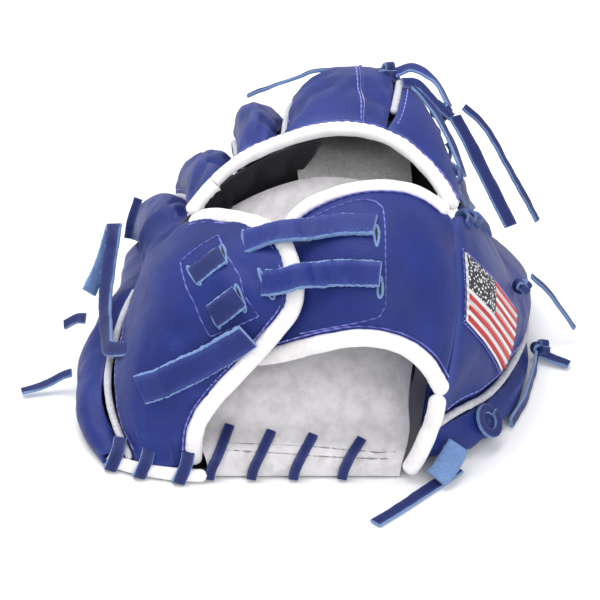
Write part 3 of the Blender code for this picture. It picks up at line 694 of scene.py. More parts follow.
def relaxed(points, sign, pressure, swell, cap):
    """The grid after a cloth simulation held at its borders: it fills out and takes natural folds."""
    rows, across = points.shape[:2]
    ordered = flipped_if(points, sign)
    cloth = mesh_piece("cloth_sample", ordered.reshape(-1, 3), grid_faces(rows, across), [], sharp=None)
    cloth.vertex_groups.new(name="held").add(rim_places(rows, across), 1.0, "REPLACE")
    modifier = cloth.modifiers.new("cloth", "CLOTH")
    for key, value in CLOTH.items():
        setattr(modifier.settings, key, value)
    modifier.settings.uniform_pressure_force = pressure
    modifier.settings.shrink_min = -swell
    modifier.settings.effector_weights.gravity = 0
    modifier.point_cache.frame_start = 1
    modifier.point_cache.frame_end = CLOTH_FRAMES
    scene = bpy.context.scene
    for step in range(1, CLOTH_FRAMES + 1):
        scene.frame_set(step)
    found = np.zeros(rows * across * 3)
    result = cloth.evaluated_get(bpy.context.evaluated_depsgraph_get()).data
    result.vertices.foreach_get("co", found)
    scene.frame_set(1)
    moved = flipped_if(found.reshape(rows, across, 3), sign) - points
    length = np.maximum(np.linalg.norm(moved, axis=2, keepdims=True), 1e-9)
    bpy.data.objects.remove(cloth)
    return points + moved * np.minimum(1.0, cap / length)


PANEL = [royal, flesh_side, royal]
# The stall panels' inner face is black lining leather, which also stands as painted shade inside the finger
# stalls.
STALL = [royal, black_lining_and_shade, royal]


def leather_panel(cad_node, sheet, times, grow, dip, swell, wrinkle, seed, materials=PANEL, thickness=LEATHER,
                  sim=None, edge=(1, 1, 1, 1), reach=5.0):
    """A fine leather panel on a CAD sheet: turned-in edges, a soft swell, wrinkles and its thickness. The
    lengths grow, dip, swell, wrinkle and reach are in millimetres."""
    points = grown(sheet.points, [g * MM for g in grow])
    if sim:
        points = relaxed(finer_grid(points, 2), sheet.sign, *sim)
        times = max(1, times // 2)
    points = finer_grid(points, times)
    normal = sheet.sign * grid_normals(points)
    away = border_distances(points)
    turn = np.zeros(points.shape[:2])
    for distance, wanted in zip(away, edge):
        turn = np.maximum(turn, wanted * (1 - ease(distance / (reach * MM))))
    middle = ease(np.minimum.reduce(away) / (18 * MM))
    lift = swell * MM * middle - dip * MM * turn ** 1.6
    lift += wrinkle * MM * rumple(points, 22 * MM, seed) * (0.35 + 0.65 * middle)
    outer = points + normal * lift[..., None]
    inner = points - normal * thickness
    sides = [flipped_if(side, sheet.sign) for side in (outer, inner)]
    stands_for(slab(cad_node + "_leather", *sides, materials), cad_node)
    return Sheet(outer, sheet.sign)


# ---------------------------------------------------------------- stitching

THREAD_STEP = 0.4
THREAD_RINGS = 6
THREAD_SIDES = 6


def seated_stitches(name, line, normals, cad_node, material, length, gap, radius, lift=0.12):
    """A row of stitches along a line: each one a short bent length of thread that dives in at both ends. The
    length, gap, radius and lift are in millimetres."""
    fine = resampled(np.concatenate([line, normals], axis=1), THREAD_STEP * MM)
    pitch = length + gap
    points, faces = [], []
    for k in range(int(len(fine) * THREAD_STEP // pitch)):
        first = (k * pitch + gap / 2) / THREAD_STEP
        faces += tube_faces(THREAD_RINGS, THREAD_SIDES, len(points))
        for share in np.linspace(0, 1, THREAD_RINGS):
            at = first + share * length / THREAD_STEP
            i = min(int(at), len(fine) - 2)
            here = fine[i] * (1 - (at - i)) + fine[i + 1] * (at - i)
            up = unit(here[3:])
            side = unit(np.cross(unit(fine[i + 1, :3] - fine[i, :3]), up))
            arch = math.sin(math.pi * share)
            centre = here[:3] + up * (lift + 0.5 * arch - 0.45) * MM
            thick = radius * MM * (0.55 + 0.45 * arch)
            for a in np.arange(THREAD_SIDES) * 2 * math.pi / THREAD_SIDES:
                points.append(centre + (side * math.cos(a) + up * math.sin(a)) * thick)
    return rides_like(closed_piece(name, points, faces, [material]), cad_node)


def line_on(sheet, stops):
    """A line on a sheet through (v, u) shares, straight from each to the next, with its normals."""
    corners = np.array([sheet.at(min(max(v, 0), 1), min(max(u, 0), 1))[0] for v, u in stops])
    line = resampled(corners, 0.8 * MM)
    spots = sheet.points.reshape(-1, 3)
    facing = sheet.normals().reshape(-1, 3)
    found, looks = [], []
    for point in line:
        order = np.argsort(np.linalg.norm(spots - point, axis=1))[:4]
        look = unit(facing[order].mean(axis=0))
        found.append(point - look * ((point - spots[order].mean(axis=0)) @ look))
        looks.append(look)
    return smoothed(np.array(found), 2), unit(smoothed(np.array(looks), 2))


def inside_line(sheet, distance, first, last):
    """The line that keeps this distance inside a sheet's left border, between two shares of its length."""
    line, facing = [], []
    for distances, row, normal in zip(border_distances(sheet.points)[2], sheet.points, sheet.normals()):
        order = np.argsort(distances)
        line.append([np.interp(distance, distances[order], row[order, k]) for k in range(3)])
        facing.append([np.interp(distance, distances[order], normal[order, k]) for k in range(3)])
    rows = len(line)
    keep = slice(int(first * (rows - 1)), int(round(last * (rows - 1))) + 1)
    return np.array(line)[keep], unit(np.array(facing)[keep])


# ---------------------------------------------------------------- lace

def lace_profile(width, thickness):
    """A flat lace's section, with rounded corners: its grain side comes first, then right, flesh and left."""
    half, deep = width / 2, thickness / 2
    shares = [(-0.9, 1), (-0.45, 1.05), (0, 1.08), (0.45, 1.05), (0.9, 1), (1, 0.35), (1, -0.4),
              (0.9, -1), (0.3, -1.03), (-0.3, -1.03), (-0.9, -1), (-1, -0.4), (-1, 0.35)]
    return [(x * half, y * deep) for x, y in shares]


GRAIN_FACES = 4
LACE_FOLD = 72
STRIP_SIDES = 6
LACE_START = np.array([-1.0, -0.9, -0.8])


def rim_pairs(rim, top):
    """One long side of a strip as pairs of points: on its outer face and on its inner face."""
    loop = border_loop(set(rim))
    outside = {vert for face in top for vert in face.verts}
    marks = [vert in outside for vert in loop]
    start = next(i for i in range(len(loop)) if marks[i] and not marks[i - 1])
    turned = loop[start:] + loop[:start]
    half = len(turned) // 2
    return np.array([[tuple(a.co), tuple(b.co)] for a, b in zip(turned[:half], reversed(turned[half:]))])


def walked_frames(shape, look):
    """Centres, up vectors and width of a sharply folded strip, from one end to the other."""
    end = smooth_stretches(shape, LACE_FOLD)[-1]
    rings = rings_from({vert for face in end for vert in face.verts})
    centre = np.array([ring.mean(axis=0) for ring in rings])
    up, widths = [], []
    for ring, middle in zip(rings, centre):
        axes = np.linalg.svd(ring - middle)[2]
        before = up[-1] if up else look
        up.append(axes[1] if axes[1] @ before > 0 else -axes[1])
        widths.append(np.ptp((ring - middle) @ axes[0]))
    return centre, np.array(up), float(np.mean(widths))


def lace_frames(cad_node, facing):
    """Centre line, up vectors and width of a CAD lace, read from its two long sides."""
    shape = welded(cad_node)
    groups = smooth_stretches(shape, LACE_FOLD)
    look = np.array(facing if facing is not None else out_of_hand(cad_node))
    if len(groups) != STRIP_SIDES:
        centre, up, width = walked_frames(shape, look)
    else:
        top = max(groups[:2], key=lambda group: agreement(group, Vector(look)))
        left, right = [rim_pairs(rim, top) for rim in groups[2:4]]
        if np.linalg.norm(left[0, 0] - right[0, 0]) > np.linalg.norm(left[0, 0] - right[-1, 0]):
            right = right[::-1]
        centre = (left.mean(axis=1) + right.mean(axis=1)) / 2
        up = unit((left[:, 0] + right[:, 0]) - (left[:, 1] + right[:, 1]))
        width = float(np.mean(np.linalg.norm(left[:, 0] - right[:, 0], axis=1)))
    shape.free()
    if centre[0] @ LACE_START < centre[-1] @ LACE_START:
        centre, up = centre[::-1], up[::-1]
    return centre, up, width


def lace_strip(name, line, looks, width, thickness=LACE, wave=0.25, seed=3, top=royal_dark, under=pale_suede,
               fray=0.12):
    """A flat lace along a line: waved edges, a little twist, grain on top and suede on its other sides."""
    wander = rumple(line, 9 * MM, seed, 2)
    side, up = frames_along(line, looks)
    twist = 0.16 * rumple(line, 25 * MM, seed + 5, 2)[:, None]
    side, up = side * np.cos(twist) + up * np.sin(twist), up * np.cos(twist) - side * np.sin(twist)
    line = line + up * (wave * MM * wander)[:, None]
    profile = lace_profile(width, thickness)
    points = []
    for i, (shift, height) in enumerate(profile):
        edge = line + side * shift + up * height
        rough = rumple(line + side * (shift * 3), 1.6 * MM, seed + i, 2) * fray * MM
        points.append(edge + side * (rough * math.copysign(abs(shift) / width * 2, shift))[:, None])
    rings = np.stack(points, axis=1)
    kinds = [0] * GRAIN_FACES + [1] * (len(profile) - GRAIN_FACES)
    chosen = kinds * (len(line) - 1) + [1, 1]
    return closed_piece(name, rings.reshape(-1, 3), tube_faces(*rings.shape[:2]), [top, under], chosen, 55)


def lace_piece(cad_node, facing=None, before=(), tilt=0.0, curl=0.0, sag=0.0, **looks):
    """The fine lace that stands for a CAD lace. It may start with extra points, lean over, curl up and sag.
    The extra points, curl and sag are in millimetres."""
    centre, up, width = lace_frames(cad_node, facing)
    if before:
        centre = np.concatenate([np.array(before) * MM, centre])
        up = np.concatenate([np.repeat(up[:1], len(before), axis=0), up])
    line, up = finer(centre, 8), unit(finer(up, 8))
    share = np.linspace(0, 1, len(line))[:, None]
    side, up = frames_along(line, up)
    rolled = up * math.cos(tilt) + side * math.sin(tilt)
    line = line + up * (curl * ease(1 - share / 0.2) + abs(math.sin(tilt)) * 4) * MM
    line = line - np.array([0, 0, sag * MM]) * np.sin(math.pi * share)
    return stands_for(lace_strip(cad_node + "_strip", line, rolled, width, **looks), cad_node)


# ---------------------------------------------------------------- the leather panels

strap = sheet_of("wrist_strap", (-1, -1, -1), (0, 1, 1), (0, -0.5, 1))
wing = sheet_of("pinky_back", (-1, -1, 0), (1, -1, 0))
ring = sheet_of("ring_back", (-1, -1, 0), (1, -1, 0))
middle = sheet_of("middle_back", (-1, -1, 0), (1, -1, 0))
index = sheet_of("index_back", (-1, -1, 0), (1, -1, 0))
index_side = sheet_of("index_wing", (-1, -1, 1), (1, -1, 0))
thumb = sheet_of("thumb_back", (-1, -1, -1), (0, 0, 1))
web_index = sheet_of("web_index_half", (0, -1, 1), (0, -1, 0), (1, 0, 1))
web_thumb = sheet_of("web_thumb_half", (0, -1, 1), (0, -1, 0), (1, 0, 1))
lining = sheet_of("palm_lining", (-1, -1, 0), (1, -1, 0), (0, -0.3, 1))
index_inside = sheet_of("index_lining", (-1, -1, 0), (1, -1, 0), (0, 0, 1))

strap_fine = leather_panel("wrist_strap", strap, 4, (1, 1, 2, 2), 0.6, 0.6, 0.25, 1)
wing_fine = leather_panel("pinky_back", wing, 4, (1, 4, 1, 2), 1.2, 0.8, 0.4, 2, edge=(1, 1, 1, 0.3),
                          sim=(0.6, 0.02, 1.2 * MM))
FINGER_CLOTH = (0.8, 0.02, 2 * MM)
ring_fine = leather_panel("ring_back", ring, 4, (2, 4, 1, 1), 1.5, 1.0, 0.7, 3, STALL, sim=FINGER_CLOTH)
middle_fine = leather_panel("middle_back", middle, 4, (2, 4, 1, 1), 1.5, 1.0, 0.7, 4, STALL, sim=FINGER_CLOTH)
index_fine = leather_panel("index_back", index, 4, (2, 4, 1, 1), 1.3, 0.8, 0.6, 5, STALL, sim=FINGER_CLOTH)
index_side_fine = leather_panel("index_wing", index_side, 4, (2, 1, 1, 1), 1.2, 0.5, 0.5, 6, STALL)
thumb_fine = leather_panel("thumb_back", thumb, 4, (1, 1, 1, 1), 1.2, 0.0, 0.3, 7, sim=(0.3, 0.01, 0.5 * MM))
leather_panel("web_index_half", web_index, 3, (0, 0, 0, 1), 0.8, 0.3, 0.3, 9)
leather_panel("web_thumb_half", web_thumb, 3, (0, 0, 1, 0), 0.8, 0.3, 0.3, 10)
THIN_LEATHER = 1.6 * MM
lining_fine = leather_panel("palm_lining", lining, 3, (0, 3, 6, 4), 0.4, 0.0, 0.6, 11, [lining_white] * 3,
                            THIN_LEATHER, sim=(0.3, 0.03, 1.0 * MM))
SHEARLING_SLOT = 3
# The index stall's lining is black lining leather, also painted shade deep in the stall, with shearling near
# the hand.
leather_panel("index_lining", index_inside, 4, (4, 0, 1, 1), 0.2, 0.0, 1.8, 12,
              [black_lining_and_shade] * 3 + [shearling], THIN_LEATHER)


def whiten_near_hand(piece, until):
    """The part of a stall's lining nearest the hand is pale shearling, with an uneven border."""
    for face in piece.data.polygons:
        border = until + 4 * MM * noise.noise(Vector(face.center) * 160)
        if face.center.y < border:
            face.material_index = SHEARLING_SLOT


whiten_near_hand(bpy.data.objects["index_lining_leather"], 170 * MM)


# ---------------------------------------------------------------- shells that are not one grid

SHELL_FOLD = 50
RIM_CREASE = 0.85


def fine_shell(cad_node, materials, wrinkle, size, seed, stretch=(1, 1, 1), levels=2):
    """A finer copy of a CAD solid: crisp rims, soft wrinkles, and a flat foot where it rests on the table.
    The first material goes on the big side that faces down, the last on the one that faces up. The wrinkle
    and its size are in millimetres."""
    shape = welded(cad_node)
    for group in smooth_stretches(shape, SHELL_FOLD)[:2]:
        upward = agreement(group, Vector((0, 0, 1))) > 0
        for face in group:
            face.material_index = len(materials) - 1 if upward else 0
    bmesh.ops.join_triangles(shape, faces=shape.faces, angle_face_threshold=math.radians(22),
                             angle_shape_threshold=math.radians(35))
    crease = shape.edges.layers.float.new("crease_edge")
    for edge in shape.edges:
        edge[crease] = RIM_CREASE if edge.calc_face_angle(0.0) > math.radians(SHELL_FOLD) else 0.0
    cage = bpy.data.meshes.new(cad_node + "_cage")
    shape.to_mesh(cage)
    shape.free()
    made = bpy.data.objects.new(cad_node + "_form", cage)
    bpy.context.scene.collection.objects.link(made)
    made.modifiers.new("finer", "SUBSURF").levels = levels
    fine = bpy.data.meshes.new_from_object(made.evaluated_get(bpy.context.evaluated_depsgraph_get()))
    made.modifiers.clear()
    made.data = fine
    bpy.data.meshes.remove(cage)
    points, normals = [np.zeros(len(fine.vertices) * 3) for _ in range(2)]
    fine.vertices.foreach_get("co", points)
    fine.vertices.foreach_get("normal", normals)
    points, normals = points.reshape(-1, 3), normals.reshape(-1, 3)
    foot = ease((points[:, 2] - 1.0 * MM) / (7 * MM))
    lift = rumple(points * np.array(stretch), size * MM, seed) * wrinkle * MM * foot
    fine.vertices.foreach_set("co", (points + normals * lift[:, None]).ravel())
    for material in materials:
        fine.materials.append(material)
    fine.shade_smooth()
    fine.set_sharp_from_angle(angle=math.radians(SHELL_FOLD))
    return stands_for(made, cad_node)


# The palm shell's upper, inner side is black lining leather, which also stands as painted shade inside the
# stalls.
fine_shell("palm_shell", [royal, black_lining_and_shade], 1.1, 20, 21, (1.0, 1.0, 0.45))
fine_shell("thumb_palm", [royal], 0.6, 20, 22)
fine_shell("palm_pad", [felt], 0.5, 5, 23, levels=3)
fine_shell("heel_pad", [felt], 0.3, 5, 24, levels=3)
fine_shell("strap_fleece", [fleece], 0.9, 4, 25, levels=3)


# ---------------------------------------------------------------- bindings and welts

BINDING_STEP = 0.65 * MM
FOLD_HALF = 4.0 * MM
FOLD_DEEP = 2.9 * MM
FOLD_SHIFT = 1.0 * MM


def beside(line, sheets):
    """For each point of a line, the direction into the panels it edges and the way those panels face."""
    spots = np.concatenate([sheet.points[1:-1, 1:-1].reshape(-1, 3) for sheet in sheets])
    looks = np.concatenate([sheet.normals()[1:-1, 1:-1].reshape(-1, 3) for sheet in sheets])
    into, facing = [], []
    for point in line:
        order = np.argsort(np.linalg.norm(spots - point, axis=1))[:3]
        into.append(spots[order].mean(axis=0) - point)
        facing.append(looks[order].mean(axis=0))
    ahead = tangents(line)
    into, facing = smoothed(np.array(into), 6), smoothed(np.array(facing), 6)
    into = unit(into - ahead * np.sum(into * ahead, axis=1, keepdims=True))
    facing -= ahead * np.sum(facing * ahead, axis=1, keepdims=True)
    facing -= into * np.sum(facing * into, axis=1, keepdims=True)
    return into, unit(facing)


def rounded_ends(line, length):
    """Shares from 0 to 1 that round off both ends of a tube."""
    steps = np.concatenate([[0], np.cumsum(np.linalg.norm(np.diff(line, axis=0), axis=1))])
    near = np.minimum(steps, steps[-1] - steps) / length
    return np.sqrt(np.clip(1 - (1 - np.clip(near, 0, 1)) ** 2, 0.02, 1))


STITCH_PITCH = 3.9 * MM
EDGE_OUT = 3.6 * MM
EDGE_SINK = 1.2 * MM


def edge_line(sheet, side, first, last):
    """A line just outside a sheet's left (0) or right (-1) border, between two shares of its length."""
    points = finer(sheet.points, 6, 0)
    normals = sheet.sign * grid_normals(points)
    away = unit(points[:, side] - points[:, 1 if side == 0 else -2])
    line = points[:, side] + away * EDGE_OUT - normals[:, side] * EDGE_SINK
    rows = len(line) - 1
    return line[int(first * rows):int(round(last * rows)) + 1]


def carried_on(line, by):
    """The line carried straight on past its end, with its first point doubled to hold it while smoothed."""
    return np.concatenate([line[:1], line, line[-1:] + unit(line[-1:] - line[-2:-1]) * by])


def binding(cad_node, sheets, seed, line=None, sewn=True, sewn_from=0.03):
    """White leather folded over a panel's edge, pinched a little at each stitch. It follows the CAD cord, or
    a line if one is given."""
    if line is None:
        line = finer(cord_line(cad_node), 6)
    line = resampled(smoothed(line, 8), BINDING_STEP)
    into, facing = beside(line, sheets)
    ends = rounded_ends(line, 3.5 * MM)
    pinch = 0.5 + 0.5 * np.cos(2 * math.pi * np.arange(len(line)) * BINDING_STEP / STITCH_PITCH)
    soft = rumple(line, 7 * MM, seed)
    rings = []
    for i, centre in enumerate(line):
        ring = []
        for x, y in oval(1.0, 1.0, 22, 2.6):
            inner_edge = ease((x - 0.2) / 0.6)
            wide = FOLD_HALF * (1 + 0.05 * soft[i]) * ends[i]
            high = FOLD_DEEP * (1 + 0.07 * soft[i] - 0.16 * inner_edge * pinch[i]) * ends[i]
            ring.append(centre + into[i] * (x * wide + FOLD_SHIFT) + facing[i] * y * high)
        rings.append(ring)
    stands_for(tube(cad_node + "_fold", rings, binding_white), cad_node)
    if sewn:
        row = line + into * (FOLD_HALF + FOLD_SHIFT + 1.2 * MM) + facing * 0.9 * MM
        keep = slice(int(sewn_from * len(line)), -6)
        seated_stitches(cad_node + "_stitches", row[keep], facing[keep], cad_node, lilac, 2.7, 1.2, 0.42, 0.5)


WELT_RADIUS = 1.75 * MM


def welt(cad_node, seed):
    """Piping: coarse tape over a cord, a little uneven."""
    line = resampled(finer(cord_line(cad_node), 5), 0.8 * MM)
    side, up = frames_along(line, np.tile(out_of_hand(cad_node), (len(line), 1)))
    size = WELT_RADIUS * rounded_ends(line, 2 * MM) * (1 + 0.10 * rumple(line, 4 * MM, seed, 2))
    rings = [[line[i] + side[i] * x * size[i] + up[i] * y * size[i] for x, y in oval(1.0, 1.0, 12, 2)]
             for i in range(len(line))]
    return stands_for(tube(cad_node + "_piping", rings, tape), cad_node)


binding("wing_binding", [wing], 31, edge_line(wing, -1, 0.0, 0.60))
binding("knuckle_binding", [wing, ring, middle, index, index_side], 32, sewn_from=0.2)
binding("strap_upper_binding", [strap], 33, edge_line(strap, -1, 0.12, 0.98))
binding("strap_lower_binding", [strap], 34, carried_on(edge_line(strap, 0, 0.12, 1.0), 10.5 * MM))
binding("thumb_binding", [lining, strap], 35, carried_on(finer(cord_line("thumb_binding")[:-2], 6), 19 * MM),
        sewn=False)
for k, name in enumerate(("pinky_welt", "ring_welt", "middle_welt", "index_welt", "wing_welt", "thumb_welt")):
    welt(name, 41 + k)


# ---------------------------------------------------------------- laces

UPRIGHT = (0, 0, 1)
OUTER_SIDE = (-0.5, -0.8, 0.4)
HEEL_SIDE = (0.1, -0.8, 0.6)
THICK_LACE = 2.6 * MM
for name in ("tail_heel", "tail_left", "rim_lace_end", "side_lace_end"):
    lace_piece(name, UPRIGHT, seed=len(name), wave=0.4)
for k in range(4):
    lace_piece(f"heel_stitch_{k + 1}", (0, -0.7, 0.7), seed=50 + k, under=royal_dark, thickness=1.8 * MM)
for name in ("strap_lace_upper", "strap_lace_lower"):
    lace_piece(name, seed=len(name) + 4, thickness=THICK_LACE, fray=0.5, top=royal)
for name in ("wing_lace_upper", "wing_lace_lower"):
    lace_piece(name, seed=len(name) + 9, thickness=1.6 * MM, fray=0.4)
lace_piece("wrist_tail", seed=61, thickness=THICK_LACE, fray=0.5, top=royal, wave=0.3, tilt=math.radians(22),
           curl=4.0, sag=2.5)
lace_piece("web_center_lace", seed=62, wave=0.4)
lace_piece("web_top_loop", seed=63, top=royal)
lace_piece("pinky_loop", OUTER_SIDE, [(-75, 33, 45), (-82, 38, 41)], seed=64, thickness=2.0 * MM, fray=0.3)
lace_piece("thumb_tongue", seed=65, thickness=2.2 * MM, fray=0.4, top=pale_suede)
for k, name in enumerate(("tail_top", "tail_web_wide", "tail_web_thin", "tail_side", "rim_lace")):
    lace_piece(name, HEEL_SIDE, seed=70 + k, wave=0.4)
lace_piece("pinky_lace_end", OUTER_SIDE, seed=76, wave=0.4)


# ---------------------------------------------------------------- the striped patch

RIDGE_ROWS = 40
RIDGE_SINK = 0.3 * MM


def ridge(sheet, v_range, u_range, height, seed, across=7):
    """A raised band on a sheet, arched across its width, between shares of the sheet."""
    outer, inner = [], []
    for v in np.linspace(*v_range, RIDGE_ROWS):
        over, under = [], []
        for t in np.linspace(0, 1, across):
            point, normal = sheet.at(v, u_range[0] + (u_range[1] - u_range[0]) * t)
            arch = math.sin(math.pi * min(max(t, 0.04), 0.96)) ** 0.5
            rough = 0.08 * noise.noise(Vector(point * 1400) + Vector((seed, 0, 0)))
            over.append(point + normal * (height * arch + rough) * MM)
            under.append(point - normal * RIDGE_SINK)
        outer.append(over)
        inner.append(under)
    return np.array(outer), np.array(inner)


STRIPES = 13
CANTON_LONG, CANTON_STRIPES = 0.47, 7
PATCH_RIM = 0.014
BAND = (1 - 2 * PATCH_RIM) / STRIPES


def build_patch():
    """Thirteen satin-stitch stripes and a flecked field on a pale twill base."""
    patch = sheet_of("thumb_patch", (-1, 0, 1), (-1, 0, 0))
    leather_panel("thumb_patch", patch, 3, (0.4, 0.4, 0.4, 0.4), 0.5, 0.0, 0.0, 61, [white_thread] * 3,
                  1.0 * MM, reach=1.5)
    stripes = []
    for k in range(STRIPES):
        start = CANTON_LONG + 0.005 if k < CANTON_STRIPES else PATCH_RIM
        place = (PATCH_RIM + BAND * k, PATCH_RIM + BAND * (k + 1))
        stripes.append(ridge(patch, (start, 1 - PATCH_RIM), place, 0.75, k))
    inset = (PATCH_RIM, PATCH_RIM + BAND * CANTON_STRIPES)
    field = ridge(patch, (PATCH_RIM, CANTON_LONG), inset, 0.8, 7, 40)
    for name, slabs, material in (("patch_red_stripes", stripes[::2], red_thread),
                                  ("patch_white_stripes", stripes[1::2], white_thread),
                                  ("patch_field", [field], silver_field)):
        rides_like(joined_slabs(name, slabs, material), "thumb_patch")
    border = grown(finer_grid(patch.points, 3), [1.7 * MM] * 4)
    ring = rim_places(*border.shape[:2])
    looks = (patch.sign * grid_normals(border)).reshape(-1, 3)[ring]
    line = border.reshape(-1, 3)[ring] - looks * 1.0 * MM
    seated_stitches("patch_stitches", line, looks, "thumb_patch", lilac, 2.2, 1.4, 0.3)


build_patch()


# ---------------------------------------------------------------- slits, windows and rows of stitches

SLIT_OPEN = 1.1 * MM


def slit(name, sheet, start, end, cad_node):
    """A cut in the leather for a lace: a black slab as painted shadow in the gap, between raised raw lips."""
    line, looks = resampled_with(*line_on(sheet, [start, end]), 0.5 * MM)
    side, up = frames_along(line, looks)
    gap = SLIT_OPEN * np.sin(math.pi * np.linspace(0, 1, len(line)))[:, None] ** 0.6
    outer = np.stack([line + side * gap * t + up * 0.25 * MM for t in (-1, -0.5, 0, 0.5, 1)], axis=1)
    inner = outer - up[:, None] * 0.6 * MM
    # Painted shadow: a black slab fills the gap between the lips.
    rides_like(joined_slabs(name + "_shadow_gap", [(outer, inner)], black_lining_and_shade), cad_node)
    lips = np.concatenate([line + side * gap, (line - side * gap)[::-1]])
    rings = []
    for i, (centre, high) in enumerate(zip(lips, np.concatenate([up, up[::-1]]))):
        out = unit(np.cross(high, unit(lips[(i + 1) % len(lips)] - lips[i - 1])))
        size = (0.62 + 0.18 * noise.noise(Vector(centre * 900))) * MM
        section = oval(1.0, 0.8, 8, 2)
        rings.append([centre + out * x * size + high * (y * size + 0.1 * MM) for x, y in section])
    rides_like(tube(name + "_lips", rings, pale_suede, endless=True), cad_node)


def stitched(name, sheet, stops, cad_node, material=lilac, length=2.7, gap=1.3, radius=0.42):
    line, looks = line_on(sheet, stops)
    return seated_stitches(name, line, looks, cad_node, material, length, gap, radius)


# Each slit's two ends, as shares along and across its panel.
WING_SLITS = [((0.375, 0.588), (0.333, 0.638)), ((0.408, 0.775), (0.367, 0.763)),
              ((0.292, 0.675), (0.25, 0.75)), ((0.333, 0.788), (0.283, 0.838)),
              ((0.433, 0.913), (0.383, 0.875)), ((0.358, 0.888), (0.308, 0.938))]
STRAP_SLITS = [((0.638, 0.66), (0.638, 0.51)), ((0.648, 0.335), (0.648, 0.20))]
for k, (start, end) in enumerate(WING_SLITS):
    slit(f"wing_slit_{k + 1}", wing_fine, start, end, "pinky_back")
for k, (start, end) in enumerate(STRAP_SLITS):
    slit(f"strap_slit_{k + 1}", strap_fine, start, end, "wrist_strap")
stitched("wing_window_stitches", wing_fine,
         [(0.39, 0.56), (0.435, 0.80), (0.275, 0.90), (0.235, 0.715), (0.39, 0.56)], "pinky_back")
stitched("strap_frame_stitches", strap_fine,
         [(0.18, 0.90), (0.40, 0.90), (0.60, 0.90), (0.65, 0.87), (0.67, 0.80), (0.67, 0.16), (0.655, 0.10),
          (0.62, 0.08), (0.34, 0.08)], "wrist_strap")
stitched("index_seam_stitches", index_fine, [(0.02, 0.80), (0.25, 0.715), (0.5, 0.66), (0.8, 0.6)],
         "index_back")


def lapped_seam(name, sheet, stops, cad_node):
    """A low step where one piece of leather laps over another, with a thin pale cut edge."""
    line, looks = resampled_with(*line_on(sheet, stops), 0.8 * MM)
    return rides_like(lace_strip(name, line, looks, 1.6 * MM, 1.3 * MM, 0.0, 81, royal, tape, 0.1), cad_node)


lapped_seam("index_lapped_seam", index_fine, [(0.0, 0.835), (0.25, 0.75), (0.5, 0.695), (0.8, 0.63)],
            "index_back")
HEEL_ROWS = [[(0.10, 0.06), (0.085, 0.3), (0.07, 0.55), (0.065, 0.8), (0.065, 0.97)],
             [(0.135, 0.06), (0.115, 0.3), (0.10, 0.55), (0.09, 0.8), (0.09, 0.97)]]
for k, stops in enumerate(HEEL_ROWS):
    stitched(f"heel_seam_stitches_{k + 1}", lining_fine, stops, "palm_lining", tape, 1.3, 1.3, 0.26)


# Stitches that follow a panel's left border on its fine surface.
for label, sheet, inset, first, last, cad_node in (
        ("ring", ring_fine, 3.2, 0.1, 0.9, "ring_back"),
        ("middle", middle_fine, 3.2, 0.1, 0.9, "middle_back"),
        ("index", index_fine, 3.2, 0.1, 0.9, "index_back"),
        ("index_side", index_side_fine, 3.2, 0.05, 0.9, "index_wing"),
        ("wing", wing_fine, 3.4, 0.02, 0.5, "pinky_back"),
        ("thumb", thumb_fine, 3.4, 0.05, 0.95, "thumb_back")):
    line, looks = inside_line(sheet, inset * MM, first, last)
    seated_stitches(f"{label}_left_stitches", smoothed(line, 4), looks, cad_node, lilac, 2.5, 1.4, 0.36)


# ---------------------------------------------------------------- loops and knots

EYE_POINTS = 60


def ring_lace(name, cad_node):
    """A flat lace bent round into an eye, with a sunk leather disc inside it."""
    spots = np.array([tuple(vert.co) for vert in frame["nodes"][cad_node].data.vertices])
    centre = spots.mean(axis=0)
    x, y, axis = np.linalg.svd(spots - centre)[2]
    if axis @ (centre - CORE) < 0:
        axis = -axis
    radius = np.percentile(np.linalg.norm(spots - centre, axis=1), 60)

    def around(a):
        return (x * math.cos(a) + y * math.sin(a)) * radius

    line = np.array([centre + around(a) for a in np.linspace(0, 2 * math.pi * 0.985, EYE_POINTS)])
    lift = np.linspace(-0.3, 0.9, EYE_POINTS)[:, None] * MM
    looks = np.tile(axis, (EYE_POINTS, 1))
    strip = lace_strip(name, line + looks * lift, looks, 4.4 * MM, 1.8 * MM, 0.1, 91, fray=0.3)
    stands_for(strip, cad_node)
    shares = np.linspace(0.02, 0.8, 7)
    outer = np.array([[centre + around(a) * t + axis * (0.6 - 0.9 * t) * MM for t in shares]
                      for a in np.linspace(0, 2 * math.pi, 40)])
    rides_like(joined_slabs(name + "_disc", [(outer, outer - axis * 0.8 * MM)], royal_dark), cad_node)


ring_lace("thumb_eye", "thumb_loop")


def knot(name, at, ahead, up, size, width, cad_node, seed):
    """An overhand knot of flat lace, pulled tight. Its place, size and width are in millimetres."""
    at, ahead, up = np.array(at, float) * MM, unit(np.array(ahead, float)), np.array(up, float)
    up = unit(up - ahead * (up @ ahead))
    side = np.cross(ahead, up)
    line, looks = [], []
    for t in np.linspace(0.15, 2 * math.pi - 0.15, 90):
        x = math.sin(t) + 2 * math.sin(2 * t)
        y = math.cos(t) - 2 * math.cos(2 * t)
        z = -math.sin(3 * t)
        spot = (ahead * x * 0.42 + side * y * 0.36 + up * z * 0.55) * size * MM
        line.append(at + spot)
        looks.append(spot + up * 0.5 * size * MM)
    made = lace_strip(name, np.array(line), unit(np.array(looks)), width * MM, 1.6 * MM, 0.15, seed, fray=0.2)
    return rides_like(made, cad_node)


def free_lace(name, stops, width, cad_node, seed, thickness=1.6, under=pale_suede):
    """A lace through (point, facing) stops. Its points, width and thickness are in millimetres."""
    points = finer(np.array([point for point, look in stops], float) * MM, 10)
    looks = unit(finer(np.array([look for point, look in stops], float), 10))
    made = lace_strip(name, points, looks, width * MM, thickness * MM, 0.35, seed, under=under, fray=0.25)
    return rides_like(made, cad_node)


